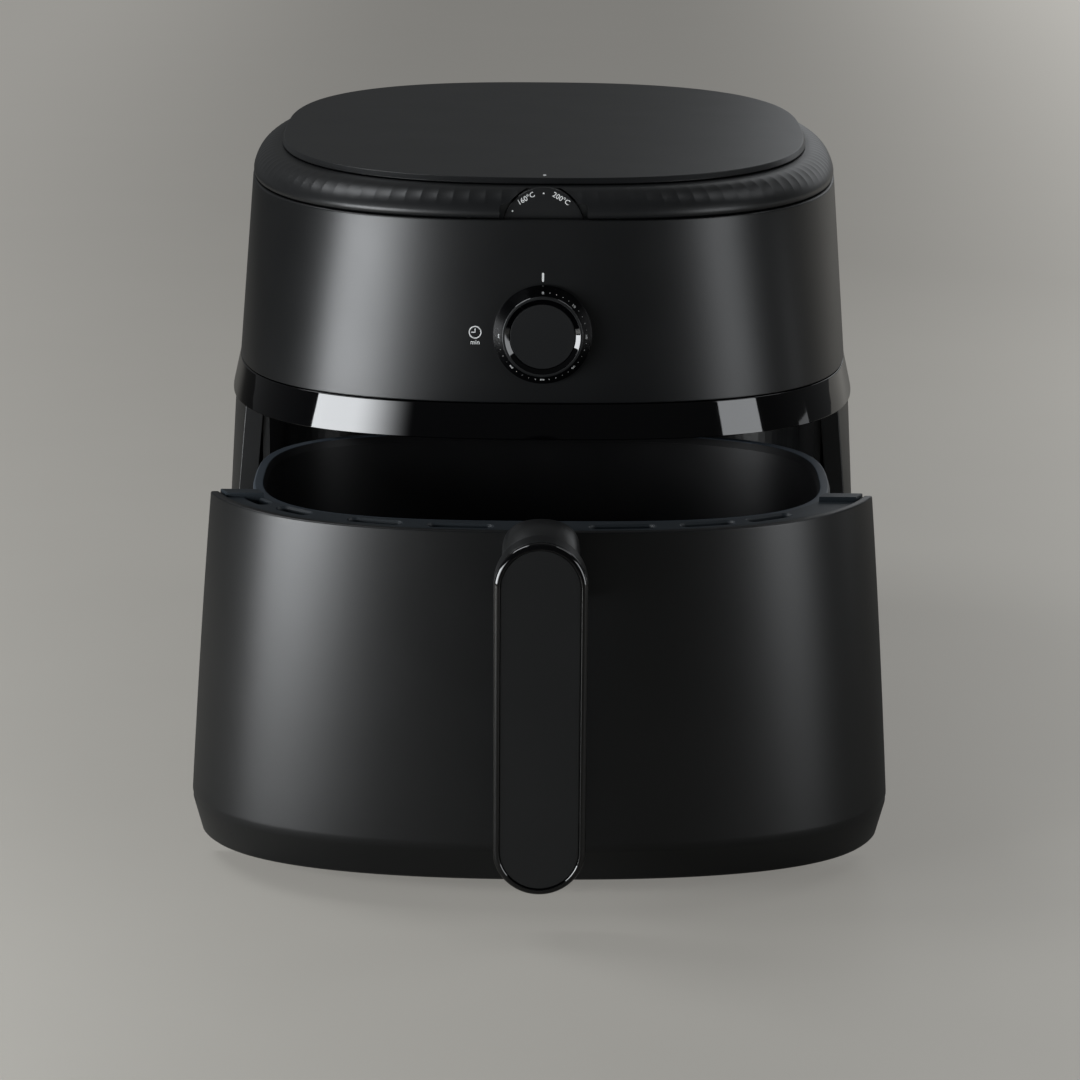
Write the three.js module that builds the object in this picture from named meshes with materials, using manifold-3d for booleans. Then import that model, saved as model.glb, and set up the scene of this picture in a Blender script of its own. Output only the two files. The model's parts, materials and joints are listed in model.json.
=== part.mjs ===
// A countertop hot-air fryer with a pull-out drawer, as an assembly of separate pieces.
// Millimetres, +Z up, the front faces -Y. It is laid out with the drawer shut, which is then pulled out.
import * as THREE from "three";
import { mergeVertices } from "three/addons/utils/BufferGeometryUtils.js";
import Module from "manifold-3d";

const wasm = await Module();
wasm.setup();

// Fits
const seam = 0.3; // between two pieces that touch
const runningGap = 0.35; // round a turning or sliding shaft
const freeGap = 1.5; // round a shaft that passes through a panel
const drawerGap = 0.7; // between the drawer and the body's front edges

// Heights of the body's pieces, from the table up
const footHeight = 7.7;
const wallHeight = 157.5;
const bandHeight = 16.2;
const shellHeight = 83.4;
const shoulderHeight = 12.7;
const plateThickness = 3;

// Plan of the body at the shell's top edge: superellipse halves that change evenly towards the table
const shellHalfWidth = 139.6;
const shellFront = 151.7;
const shellBack = 168;
const bodyCentreY = -10;
const sideDraft = 0.0865;
const wallSideDraft = 0.05; // below the shell
const frontDraft = 0.055;
const backDraft = 0.06;
const shellSideExponent = 2.9;
const shellEndExponent = 2.6; // of the front, and the back has its own
const shellBackExponent = 2;
const sideExponentSlope = -0.0025;
const endExponentSlope = 0.01;
const bodyWall = 3;
const bandProud = 0.8;
const frontEdgeY = -102; // the plane where the drawer's front meets the side walls
const edgeReturnWidth = 8.6;
const edgeReturnDepth = 6;
const shoulderInset = 12.4;
const shoulderFlange = 12;
const wallTrayGap = 0.4;

// Top plate
const plateSideLedge = 0.9; // of the shoulder ring left clear on each side
const plateEndLedge = 1.45;
const plateShift = 1.85; // of the plate's centre behind the shell's
const plateSideExponent = 2.5;
const plateEndExponent = 2.7;
const plateEdge = 0.8;

// Base
const baseThickness = 3;
const footRadius = 11;
const footSideInset = 51.5;
const frontFootInset = 20;
const backFootInset = 55.5;
const footStudRadius = 3;
const footBevel = 1.2;

// Bay that the drawer slides into, and the deck above it
const baySideGap = 1.8; // beside the pan
const bayBackGap = 21; // behind the pan
const bayWall = 3.2;
const bayCorner = 42;
const deckThickness = 3;

// Sled under the pan, and the two guides on the base tray that hold it down
const sledHalfWidth = 40;
const sledThickness = 3;
const sledFrontGap = 15; // to the drawer's front wall
const sledTail = 82; // behind the bay
const sledRibWidth = 6;
const sledRibHeight = 3.4;
const sledRibSpread = 34;
const sledStudRadius = 3;
const sledStudSpread = 25;
const sledStudInset = 20;
const sledSlotGap = 0.8;
const guideWidth = 8;
const guideLip = 6;
const guideEndGap = 2;
const guideStudRadius = 2.4;
const guideStudInset = 24;

// Pan and its rim
const panHalfWidth = 126.5;
const panHalfDepth = 82.7;
const panCentreY = -63.7;
const panSideExponent = 3;
const panEndExponent = 3;
const panRimWidth = 5.5;
const panRimHeight = 3.2;
const panRimDrop = 1; // below the rim insert
const panDraft = 0.07;
const panWall = 1.5;
const panFillet = 9;

// Crisper tray
const trayHeight = 10;
const trayThickness = 2;
const trayRim = 4;
const trayDish = 3;
const trayGap = 2.6;
const trayRise = 16; // above the pan's bottom
const trayHoleRadius = 4;
const trayHolePitch = 24;
const padLength = 18;
const padThickness = 1.8;
const padHeight = 8;
const padRise = 1;

// Drawer front, rim insert and handle
const drawerPull = 154.5;
const drawerTopDrop = 1.5; // below the side walls' top
const chamferHeight = 19;
const chamferInset = 14; // at the front
const chamferSideInset = 5;
const drawerProud = 1.5; // beyond the side walls, on each side
const drawerWall = 3;
const drawerFloor = 3;
const insertDrop = 1; // below the drawer's top edge
const insertHeight = 13;
const insertStep = 2;
const insertStepLength = 7;
const insertFit = 0.5; // round the insert, inside the panel
const slotWidth = 5.5;
const slotDepth = 7;
const slotInset = 9.5;
const slotPlaces = [
  [34, 27],
  [70, 23],
  [101, 16],
]; // distance from the middle, and length
const cornerSlotPlace = [-119.5, 14]; // on the left only
const handleWidth = 38.6;
const handleTopRise = 7; // above the drawer's top edge
const handleBottomRise = 12; // above the drawer's floor
const fingerGap = 22.2;
const gripThickness = 12;
const trimThickness = 3.2;
const trimWidth = 2.6;
const neckWidth = 32;
const neckTopRise = 8.4; // above the drawer's top edge
const neckReach = 30; // below the drawer's top edge
const neckSink = 6; // behind the body's front line
const neckSlope = 8; // rise of its underside
const neckCrown = 3; // rise of its top
const neckCrownLength = 9;
const screwRadius = 2;
const screwHeadRadius = 3.8;
const screwHeadHeight = 2.4;
const handleScrewSpread = 8;
const handleScrewDrop = 5.3; // below the rim insert

// Controls, in a frame whose origin is on the shell's front at the knob and whose Z points out of the shell
const knobRise = 31.7; // above the shell's lower edge
const knobRadius = 22.4;
const knobRingRadius = 18.4;
const knobWellRadius = 16.5;
const knobCapRadius = 14.8;
const knobHeight = 9;
const knobStandOff = 0.6;
const knobSkirt = 1.4;
const knobBevel = 0.6;
const knobWellDepth = 5;
const knobCapDrop = 0.8;
const socketDepth = 2.4;
const wheelRadius = 18.7;
const wheelDrop = 4.68; // below the shell's top edge, along the shell
const wheelThickness = 4;
const wheelSetback = 4.5;
const wheelHubRadius = 7;
const wheelHubHeight = 1.5;
const wheelEdge = 0.5;
const wheelFace = 1.5; // in front of the spindle's socket
const notchHalfWidth = 19.8;
const notchRise = 7; // above the shell
const notchGap = 0.8; // round the wheel
const notchDepth = 9.5;
const controlPlateSetback = 10.7;
const controlPlateThickness = 1.5;
const spindleRadius = 3;
const spindleDepth = 9; // inside the timer or thermostat
const timerSize = 40;
const timerDepth = 24;
const bellRadius = 12;
const bellDepth = 7;
const thermostatWidth = 26;
const thermostatDepth = 22;
const controlPlateMargin = 5;
const controlPlateTop = 7; // above the shell's top edge
const controlBossRadius = 4;
const controlBossRise = 8;
const controlBossSpread = 25;

// Hot-air unit
const fanSetback = 18.7; // behind the pan's middle
const shieldRadius = 79;
const shieldHeight = 36.5;
const shieldThickness = 1;
const shieldFlange = 10;
const elementTube = 3.2;
const elementWallGap = 4.8; // to the shield's wall
const elementPitch = 10; // between the two rings
const elementLegRise = 6; // above the shield
const elementHoleGap = 0.8;
const deckLedge = 6; // under the shield's wall
const elementRise = 8.6; // above the deck
const clipWidth = 8;
const clipEnd = 2;
const clipWallGap = 0.6;
const shaftRadius = 3;
const hotFanGap = 4.8; // to the heating element
const hotFanRise = 17.6; // above the deck
const hotFanHeight = 11;
const hotFanBlades = 12;
const coolingFanRadius = 38;
const coolingFanHeight = 8;
const coolingFanBlades = 9;
const coolingFanRise = 3; // above the shield
const fanHubRadius = 8;
const fanDisc = 1.5;
const bladeThickness = 1.2;
const nutRadius = 5.5;
const nutHeight = 6;
const shaftEnd = 2; // past the nut
const shaftTail = 6; // above the motor
const motorRadius = 30;
const motorHeight = 28;
const bracketRise = 16.1; // above the shield
const bracketThickness = 2;
const bracketMargin = 8;
const bracketPostGap = 4; // to the shield's flange
const bracketArmHalf = 6;
const postRadius = 3;
const ductHalfWidth = 40;
const ductHeight = 40;
const ductRise = 22.6; // above the deck
const ductWall = 1.5;
const ductEndGap = 12; // to the rear wall
const ductLegInset = 6;
const ductLegHalf = 3;
const grilleBorder = 4;
const grilleSlats = 6;

// Wiring side
const inletRise = 32; // above the body's lower edge
const inletRadius = 7;
const inletBore = 3.6;
const inletFlange = 10;
const inletFlangeHeight = 3;
const inletNose = 5;
const inletTail = 8;
const switchHalfWidth = 10;
const switchTop = 4; // above the plunger
const switchBottom = 6; // below the plunger
const switchDepth = 15;
const switchBack = 3;
const plungerRadius = 2;
const plungerTravel = 3;
const terminalWidth = 46;
const terminalDepth = 20;
const terminalHeight = 14;
const terminalWellRadius = 3;
const terminalWellDepth = 6;
const terminalGap = 16; // to the rear wall
const fuseRadius = 4;
const fuseLength = 18;
const fuseClipReach = 4;
const fuseClipHalf = 3;
const fuseClipHeight = 1.5;

// Mesh fineness
const planSteps = 48;
const roundSteps = 20;
const largeSteps = 32;
const smallSteps = 12;
const arcSteps = 4;

// Levels that follow
const baseZ = footHeight + seam;
const wallTopZ = baseZ + wallHeight;
const bandZ = wallTopZ + seam;
const bandTopZ = bandZ + bandHeight;
const shellZ = bandTopZ + seam;
const shellTopZ = shellZ + shellHeight;
const shoulderZ = shellTopZ + seam;
const shoulderTopZ = shoulderZ + shoulderHeight;
const plateZ = shoulderTopZ + seam;
const deckZ = bandZ + seam;
const deckTopZ = deckZ + deckThickness;
const bayTopZ = deckZ - seam;
const sledZ = baseZ + baseThickness + seam;
const sledTopZ = sledZ + sledThickness;
const panBottomZ = sledTopZ + sledRibHeight + seam;
const trayZ = panBottomZ + trayRise;
const drawerTopZ = wallTopZ - drawerTopDrop;
const insertTopZ = drawerTopZ - insertDrop;
const panRimZ = insertTopZ - panRimDrop - panRimHeight;
const chamferZ = baseZ + chamferHeight;
const handleScrewZ = insertTopZ - insertHeight - handleScrewDrop;
const handleTopZ = drawerTopZ + handleTopRise;
const handleBottomZ = baseZ + handleBottomRise;
const neckTopZ = drawerTopZ + neckTopRise;
const neckBottomZ = drawerTopZ - neckReach;
const shieldZ = deckTopZ + seam;
const shieldTopZ = shieldZ + shieldHeight;
const elementZ = shieldZ + elementRise;
const hotFanZ = shieldZ + hotFanRise;
const bracketZ = shieldTopZ + bracketRise;
const ductBottomZ = shieldZ + ductRise;
const inletZ = baseZ + inletRise;
const knobZ = shellZ + knobRise;
const wheelRise = (shellTopZ - knobZ) * Math.hypot(1, frontDraft) - wheelDrop;

// Places that follow
const bayHalfWidth = panHalfWidth + baySideGap;
const bayBackY = panCentreY + panHalfDepth + bayBackGap;
const guideFrontY = frontEdgeY + edgeReturnDepth + guideEndGap;
const guideBackY = bayBackY - guideEndGap;
const sledFrontY = bodyFrontAt(baseZ) + chamferInset + drawerWall + sledFrontGap;
const sledBackY = bayBackY + bayWall + sledTail;
const sledStudY = sledFrontY + sledStudInset;
const fanY = panCentreY + fanSetback;
const elementRadius = shieldRadius - shieldThickness - elementWallGap - elementTube;
const elementInnerRadius = elementRadius - elementPitch;
const hotFanRadius = elementInnerRadius - elementTube - hotFanGap;
const bracketReach = shieldRadius + shieldFlange + bracketPostGap + postRadius;
const gripBackY = bodyFrontAt(chamferZ) - fingerGap;
const gripFrontY = gripBackY - gripThickness;
const handleFrontY = gripFrontY - seam - trimThickness;

// Plans
function bodyPlan(z) {
  const drop = shellTopZ - z;
  const below = Math.max(0, drop - shellHeight);
  return {
    halfWidth: shellHalfWidth + (drop - below) * sideDraft + below * wallSideDraft,
    front: shellFront + drop * frontDraft,
    back: shellBack + drop * backDraft,
    centreY: bodyCentreY,
    side: shellSideExponent + drop * sideExponentSlope,
    end: shellEndExponent + drop * endExponentSlope,
    backEnd: shellBackExponent + drop * endExponentSlope,
  };
}

function drawerPlan(z) {
  const plan = bodyPlan(z);
  return { ...plan, halfWidth: plan.halfWidth + drawerProud };
}

function bodyFrontAt(z) {
  return bodyCentreY - bodyPlan(z).front;
}

function bodyBackAt(z) {
  return bodyCentreY + bodyPlan(z).back;
}

const plateHalfDepth = (shellFront + shellBack) / 2 - shoulderInset - plateEndLedge;
const platePlan = {
  halfWidth: shellHalfWidth - shoulderInset - plateSideLedge,
  front: plateHalfDepth,
  back: plateHalfDepth,
  centreY: bodyCentreY + (shellBack - shellFront) / 2 + plateShift,
  side: plateSideExponent,
  end: plateEndExponent,
  backEnd: plateEndExponent,
};

const panPlan = {
  halfWidth: panHalfWidth,
  front: panHalfDepth,
  back: panHalfDepth,
  centreY: panCentreY,
  side: panSideExponent,
  end: panEndExponent,
  backEnd: panEndExponent,
};

// A closed ring of points on a plan at height z, moved inwards by inset.
function ring(plan, z, inset = 0, steps = planSteps) {
  const points = [];
  for (let i = 0; i < steps; i++) {
    const turn = (i / steps) * 2 * Math.PI;
    const c = Math.cos(turn);
    const s = Math.sin(turn);
    const x = (plan.halfWidth - inset) * Math.sign(c) * Math.abs(c) ** (2 / plan.side);
    const y = s < 0 ? -plan.front + inset : plan.back - inset;
    const exponent = s < 0 ? plan.end : plan.backEnd;
    points.push([x, plan.centreY + y * Math.abs(s) ** (2 / exponent), z]);
  }
  return points;
}

// The point on a plan's front at a given x.
function frontPoint(plan, x, inset) {
  const share = Math.abs(x) / (plan.halfWidth - inset);
  const y = plan.centreY - (plan.front - inset) * (1 - share ** plan.side) ** (1 / plan.end);
  return new THREE.Vector2(x, y);
}

// Solids
function solidOf(geometry) {
  const bare = geometry.index ? geometry.toNonIndexed() : geometry.clone();
  bare.deleteAttribute("normal");
  bare.deleteAttribute("uv");
  const merged = mergeVertices(bare, 1e-4);
  return new wasm.Manifold(
    new wasm.Mesh({
      numProp: 3,
      vertProperties: merged.attributes.position.array,
      triVerts: new Uint32Array(merged.index.array),
    }),
  );
}

function geometryOf(solid) {
  const mesh = solid.getMesh();
  const geometry = new THREE.BufferGeometry();
  geometry.setAttribute("position", new THREE.BufferAttribute(new Float32Array(mesh.vertProperties), 3));
  geometry.setIndex(new THREE.BufferAttribute(new Uint32Array(mesh.triVerts), 1));
  geometry.computeVertexNormals();
  return geometry;
}

// Rings joined in turn. With looped, the last ring joins the first, and otherwise both ends are capped.
function loft(rings, looped = false) {
  const count = rings[0].length;
  const positions = rings.flat(2);
  const index = [];
  const bands = looped ? rings.length : rings.length - 1;
  for (let r = 0; r < bands; r++) {
    const low = r * count;
    const high = ((r + 1) % rings.length) * count;
    for (let i = 0; i < count; i++) {
      const j = (i + 1) % count;
      index.push(low + i, low + j, high + j, low + i, high + j, high + i);
    }
  }
  if (!looped) {
    const last = (rings.length - 1) * count;
    const middle = positions.length / 3;
    for (const end of [rings[0], rings.at(-1)]) {
      const centre = [0, 1, 2].map((k) => end.reduce((sum, p) => sum + p[k], 0) / count);
      positions.push(...centre);
    }
    for (let i = 0; i < count; i++) {
      const j = (i + 1) % count;
      index.push(middle, j, i, middle + 1, last + i, last + j);
    }
  }
  const geometry = new THREE.BufferGeometry();
  geometry.setAttribute("position", new THREE.BufferAttribute(new Float32Array(positions), 3));
  geometry.setIndex(index);
  return solidOf(geometry);
}

function block(x0, x1, y0, y1, z0, z1) {
  const box = new THREE.BoxGeometry(x1 - x0, y1 - y0, z1 - z0);
  box.translate((x0 + x1) / 2, (y0 + y1) / 2, (z0 + z1) / 2);
  return solidOf(box);
}

// A profile of [radius, height] points turned about Z.
function turned(profile, steps = roundSteps) {
  const points = profile.map(([r, h]) => new THREE.Vector2(r, h));
  return solidOf(new THREE.LatheGeometry(points, steps).rotateX(Math.PI / 2));
}

function rod(radius, z0, z1, x = 0, y = 0, steps = roundSteps) {
  const cylinder = new THREE.CylinderGeometry(radius, radius, z1 - z0, steps);
  return solidOf(cylinder.rotateX(Math.PI / 2).translate(x, y, (z0 + z1) / 2));
}

function rodAlongY(radius, y0, y1, x, z, steps = roundSteps) {
  const cylinder = new THREE.CylinderGeometry(radius, radius, y1 - y0, steps);
  return solidOf(cylinder.translate(x, (y0 + y1) / 2, z));
}

// A shape drawn in X and Z, as thick as y1 - y0.
function plateFacingFront(shape, y0, y1, steps = 10) {
  const slab = new THREE.ExtrudeGeometry(shape, {
    depth: y1 - y0,
    bevelEnabled: false,
    curveSegments: steps,
  });
  return solidOf(slab.rotateX(Math.PI / 2).translate(0, y1, 0));
}

function obround(width, bottom, top) {
  const r = width / 2;
  const shape = new THREE.Shape();
  shape.moveTo(r, bottom + r);
  shape.lineTo(r, top - r);
  shape.absarc(0, top - r, r, 0, Math.PI, false);
  shape.lineTo(-r, bottom + r);
  shape.absarc(0, bottom + r, r, Math.PI, 2 * Math.PI, false);
  return shape;
}

function union(solids) {
  return solids.reduce((sum, s) => sum.add(s));
}

// Materials
function material(color, roughness, metalness = 0) {
  return () => new THREE.MeshStandardMaterial({ color, roughness, metalness });
}

const mattePlastic = material(0x232527, 0.55);
const satinPlastic = material(0x303234, 0.42);
const glossPlastic = material(0x0c0d0e, 0.08);
const slatePlastic = material(0x2b3136, 0.5);
const nonStick = material(0x17181a, 0.4, 0.3);
const greySteel = material(0xa8abad, 0.35, 0.9);
const darkSteel = material(0x3a3b3d, 0.5, 0.8);
const palePlastic = material(0xd8d4c8, 0.6);
const silicone = material(0x2a2a2b, 0.85);
const rubber = material(0x1b1b1b, 0.9);
const brass = material(0xc9a25a, 0.35, 0.9);

const assembly = new THREE.Group();
const drawer = new THREE.Group();
drawer.position.y = -drawerPull;
assembly.add(drawer);

function piece(parent, name, solid, makeMaterial) {
  const mesh = new THREE.Mesh(geometryOf(solid), makeMaterial());
  mesh.name = name;
  parent.add(mesh);
  return mesh;
}

// Body shells
function bodyWallRing(z0, z1, inset, thickness) {
  return loft(
    [
      ring(bodyPlan(z0), z0, inset),
      ring(bodyPlan(z1), z1, inset),
      ring(bodyPlan(z1), z1, inset + thickness),
      ring(bodyPlan(z0), z0, inset + thickness),
    ],
    true,
  );
}

function bodyFill(z0, z1, inset, plan = bodyPlan) {
  return loft([ring(plan(z0), z0, inset), ring(plan(z1), z1, inset)]);
}

const far = 400;
const behindFrontEdge = block(-far, far, frontEdgeY, far, -far, far);

function outerWall() {
  const wall = bodyWallRing(baseZ, wallTopZ, 0, bodyWall).intersect(behindFrontEdge);
  const core = block(-bayHalfWidth - bayWall - 2, bayHalfWidth + bayWall + 2, -far, far, -far, far);
  const edge = block(-far, far, frontEdgeY, frontEdgeY + edgeReturnDepth, -far, far);
  const wide = bodyFill(baseZ, wallTopZ, 0);
  const narrow = bodyFill(baseZ, wallTopZ, edgeReturnWidth);
  const returns = wide.subtract(narrow).intersect(edge).subtract(core);
  const inletHole = rodAlongY(inletRadius + seam, 0, far, 0, inletZ);
  return wall.add(returns).subtract(inletHole);
}

function baseTray() {
  const z1 = baseZ + baseThickness;
  const fill = bodyFill(baseZ, z1, bodyWall + wallTrayGap);
  const clear = block(-far, far, frontEdgeY + edgeReturnDepth + seam, far, -far, far);
  const holes = footPlaces().map(([x, y]) => rod(footStudRadius + seam, 0, z1 + 1, x, y, smallSteps));
  for (const [x, y] of guideStuds()) {
    const hole = rod(guideStudRadius + seam, 0, z1 + 1, x, y, smallSteps);
    holes.push(hole, hole.mirror([1, 0, 0]));
  }
  return fill.intersect(clear).subtract(union(holes));
}

function footPlaces() {
  const x = bodyPlan(baseZ).halfWidth - footSideInset;
  const frontY = frontEdgeY + frontFootInset;
  const backY = bodyBackAt(baseZ) - backFootInset;
  return [
    [-x, frontY],
    [x, frontY],
    [-x, backY],
    [x, backY],
  ];
}

// A foot is held by its own stud, pressed through the tray.
function foot(x, y) {
  return turned(
    [
      [0, 0],
      [footRadius - footBevel, 0],
      [footRadius, footBevel],
      [footRadius, footHeight],
      [footStudRadius, footHeight],
      [footStudRadius, baseZ + baseThickness],
      [0, baseZ + baseThickness],
    ],
    roundSteps,
  ).translate([x, y, 0]);
}

function glossBand() {
  return bodyWallRing(bandZ, bandTopZ, -bandProud, bodyWall + bandProud);
}

function controlsFrame() {
  const frame = new THREE.Group();
  frame.position.set(0, bodyFrontAt(knobZ), knobZ);
  frame.rotation.x = Math.PI / 2 - Math.atan(frontDraft);
  frame.updateMatrix();
  return frame;
}

const controls = controlsFrame();
const toBody = controls.matrix.elements;
const placed = (solid) => solid.transform([...toBody]);

function grilleWindow(border) {
  const z0 = ductBottomZ + border;
  const z1 = ductBottomZ + ductHeight - border;
  return block(-ductHalfWidth + border, ductHalfWidth - border, 0, far, z0, z1);
}

function upperShell() {
  const wall = bodyWallRing(shellZ, shellTopZ, 0, bodyWall);
  const bossSink = 0.6;
  const bosses = [-1, 1].map((side) => {
    const back = seam - controlPlateSetback;
    const front = bossSink - bodyWall;
    return placed(rod(controlBossRadius, back, front, side * controlBossSpread, controlBossRise));
  });
  const spindleHole = placed(rod(spindleRadius + freeGap, -far / 8, far / 8, 0, 0, smallSteps));
  return wall.add(union(bosses)).subtract(spindleHole).subtract(grilleWindow(0));
}

function rearGrille() {
  const wall = bodyWallRing(shellZ, shellTopZ, 0.4, bodyWall - 0.8);
  const panel = wall.intersect(grilleWindow(seam));
  const pitch = (ductHeight - 2 * grilleBorder) / grilleSlats;
  const slots = [];
  for (let i = 0; i < grilleSlats; i++) {
    const z = ductBottomZ + grilleBorder + pitch * (i + 0.25);
    const half = ductHalfWidth - grilleBorder;
    slots.push(block(-half, -2, 0, far, z, z + pitch / 2), block(2, half, 0, far, z, z + pitch / 2));
  }
  return panel.subtract(union(slots));
}

function shoulderRing() {
  const rings = [];
  const plan = bodyPlan(shellTopZ);
  const arc = (radius, rise, outset, steps) => {
    const made = [];
    for (let i = 0; i <= steps; i++) {
      const a = (i / steps) * (Math.PI / 2);
      made.push(ring(plan, shoulderZ + rise * Math.sin(a), outset + radius * (1 - Math.cos(a))));
    }
    return made;
  };
  rings.push(...arc(shoulderInset, shoulderHeight, 0, arcSteps));
  rings.push(ring(plan, shoulderTopZ, shoulderInset + shoulderFlange));
  rings.push(ring(plan, shoulderTopZ - bodyWall, shoulderInset + shoulderFlange));
  rings.push(...arc(shoulderInset, shoulderHeight - bodyWall, bodyWall, 2).reverse());
  const fullRing = loft(rings, true);
  const low = wheelRise - wheelRadius;
  const high = wheelRise + wheelDrop + notchRise;
  const notch = block(-notchHalfWidth, notchHalfWidth, low, high, -notchDepth, far);
  const round = rod(wheelRadius + notchGap, -notchDepth, far, 0, wheelRise);
  return fullRing.subtract(placed(notch.add(round)));
}

function topPlate() {
  const z1 = plateZ + plateThickness;
  return loft([
    ring(platePlan, plateZ, plateEdge * 2),
    ring(platePlan, plateZ + plateThickness * 0.4, 0),
    ring(platePlan, z1 - plateEdge, 0),
    ring(platePlan, z1, plateEdge),
  ]);
}

piece(assembly, "outer_wall", outerWall(), mattePlastic);
piece(assembly, "base_tray", baseTray(), mattePlastic);
footPlaces().forEach(([x, y], i) => {
  piece(assembly, "foot_" + (i + 1), foot(x, y), rubber);
});
piece(assembly, "gloss_band", glossBand(), glossPlastic);
piece(assembly, "upper_shell", upperShell(), mattePlastic);
piece(assembly, "rear_grille", rearGrille(), mattePlastic);
piece(assembly, "shoulder_ring", shoulderRing(), satinPlastic);
piece(assembly, "top_plate", topPlate(), satinPlastic);

// Drawer bay: a U of thin wall with a slot for the sled, the guides on the floor, and the deck above
function bayShape(halfWidth, backY, corner) {
  const shape = new THREE.Shape();
  shape.moveTo(-halfWidth, frontEdgeY + 2);
  shape.lineTo(halfWidth, frontEdgeY + 2);
  shape.lineTo(halfWidth, backY - corner);
  shape.absarc(halfWidth - corner, backY - corner, corner, 0, Math.PI / 2, false);
  shape.absarc(-halfWidth + corner, backY - corner, corner, Math.PI / 2, Math.PI, false);
  return shape;
}

function standing(shape, z0, z1, steps = 8) {
  const slab = new THREE.ExtrudeGeometry(shape, {
    depth: z1 - z0,
    bevelEnabled: false,
    curveSegments: steps,
  });
  return solidOf(slab.translate(0, 0, z0));
}

const plungerZ = panRimZ + panRimHeight / 2;

function drawerBay() {
  const outerShape = bayShape(bayHalfWidth + bayWall, bayBackY + bayWall, bayCorner + bayWall);
  const outer = standing(outerShape, sledZ, bayTopZ);
  const inner = standing(bayShape(bayHalfWidth, bayBackY, bayCorner), sledZ - 1, bayTopZ + 1);
  const mouth = block(-bayHalfWidth, bayHalfWidth, -far, frontEdgeY + 3, -far, far);
  const hole = rodAlongY(plungerRadius + runningGap, 0, far, 0, plungerZ, smallSteps);
  const slotHalf = sledHalfWidth + sledSlotGap;
  const slot = block(-slotHalf, slotHalf, 0, far, 0, sledTopZ + sledSlotGap);
  return outer.subtract(union([inner, mouth, hole, slot]));
}

// A bar on the base tray with a lip over the sled's edge, held by studs pressed through the tray.
function floorGuide(side) {
  const edge = sledHalfWidth + runningGap;
  const lipZ = sledTopZ + runningGap;
  const topZ = panBottomZ - seam;
  const bar = block(edge, edge + guideWidth, guideFrontY, guideBackY, sledZ, topZ);
  const lip = block(edge - guideLip, edge + 1, guideFrontY, guideBackY, lipZ, topZ);
  const studs = guideStuds().map(([x, y]) => rod(guideStudRadius, baseZ, sledZ + 1, x, y, smallSteps));
  const guide = union([bar, lip, ...studs]);
  return side < 0 ? guide.mirror([1, 0, 0]) : guide;
}

function guideStuds() {
  const x = sledHalfWidth + runningGap + guideWidth / 2;
  return [guideFrontY + guideStudInset, guideBackY - guideStudInset].map((y) => [x, y]);
}

function chamberDeck() {
  const fill = bodyFill(deckZ, deckTopZ, bodyWall + wallTrayGap);
  const opening = rod(shieldRadius - deckLedge, deckZ - 1, deckTopZ + 1, 0, fanY, largeSteps);
  return fill.subtract(opening);
}

piece(assembly, "drawer_bay", drawerBay(), mattePlastic);
piece(assembly, "floor_guide_left", floorGuide(-1), slatePlastic);
piece(assembly, "floor_guide_right", floorGuide(1), slatePlastic);
piece(assembly, "chamber_deck", chamberDeck(), greySteel);

// Hot-air unit
function heatShield() {
  const outer = shieldRadius + shieldFlange;
  const dome = turned(
    [
      [0, shieldTopZ - shieldThickness],
      [shieldRadius - shieldThickness, shieldTopZ - shieldThickness],
      [shieldRadius - shieldThickness, shieldZ],
      [outer, shieldZ],
      [outer, shieldZ + shieldThickness],
      [shieldRadius, shieldZ + shieldThickness],
      [shieldRadius, shieldTopZ],
      [0, shieldTopZ],
    ],
    largeSteps,
  ).translate([0, fanY, 0]);
  const holes = [rod(shaftRadius + freeGap, shieldZ, far, 0, fanY, smallSteps)];
  for (const leg of elementLegs()) {
    holes.push(rod(elementTube + elementHoleGap, shieldZ, far, leg.x, leg.y, smallSteps));
  }
  return dome.subtract(union(holes));
}

function elementTurn(radius, turn, z) {
  return new THREE.Vector3(radius * Math.cos(turn), fanY + radius * Math.sin(turn), z);
}

const elementStart = 0.62 * Math.PI;
const elementSweep = 1.76 * Math.PI;

function elementLegs() {
  return [elementTurn(elementRadius, elementStart, 0), elementTurn(elementInnerRadius, elementStart, 0)];
}

// One tube: down a leg, round the outer ring, back round the inner ring and up the other leg.
function heatingElement() {
  const [outer, inner] = elementLegs();
  const topZ = shieldTopZ + elementLegRise;
  const bendZ = elementZ + elementTube * 2;
  const steps = 14;
  const bend = elementTube / elementRadius;
  const there = [];
  const back = [];
  for (let i = 0; i <= steps; i++) {
    const turn = elementStart + bend + ((elementSweep - bend) * i) / steps;
    there.push(elementTurn(elementRadius, turn, elementZ));
    back.unshift(elementTurn(elementInnerRadius, turn, elementZ));
  }
  const hairpin = (elementRadius - elementInnerRadius) / 2;
  const tip = elementStart + elementSweep + hairpin / elementRadius;
  const points = [
    new THREE.Vector3(outer.x, outer.y, topZ),
    new THREE.Vector3(outer.x, outer.y, bendZ),
    ...there,
    elementTurn(elementRadius - hairpin, tip, elementZ),
    ...back,
    new THREE.Vector3(inner.x, inner.y, bendZ),
    new THREE.Vector3(inner.x, inner.y, topZ),
  ];
  const section = new THREE.Shape();
  section.absarc(0, 0, elementTube, 0, 2 * Math.PI, false);
  const tube = new THREE.ExtrudeGeometry(section, {
    steps: 72,
    curveSegments: 3,
    bevelEnabled: false,
    extrudePath: new THREE.CatmullRomCurve3(points, false, "centripetal"),
  });
  return solidOf(tube);
}

function elementClip(turn) {
  const inner = elementInnerRadius - elementTube - clipEnd;
  const outer = shieldRadius - shieldThickness - clipWallGap;
  const top = elementZ - elementTube - seam;
  const strap = block(inner, outer, -clipWidth / 2, clipWidth / 2, shieldZ, top);
  return strap.rotate([0, 0, turn]).translate([0, fanY, 0]);
}

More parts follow.
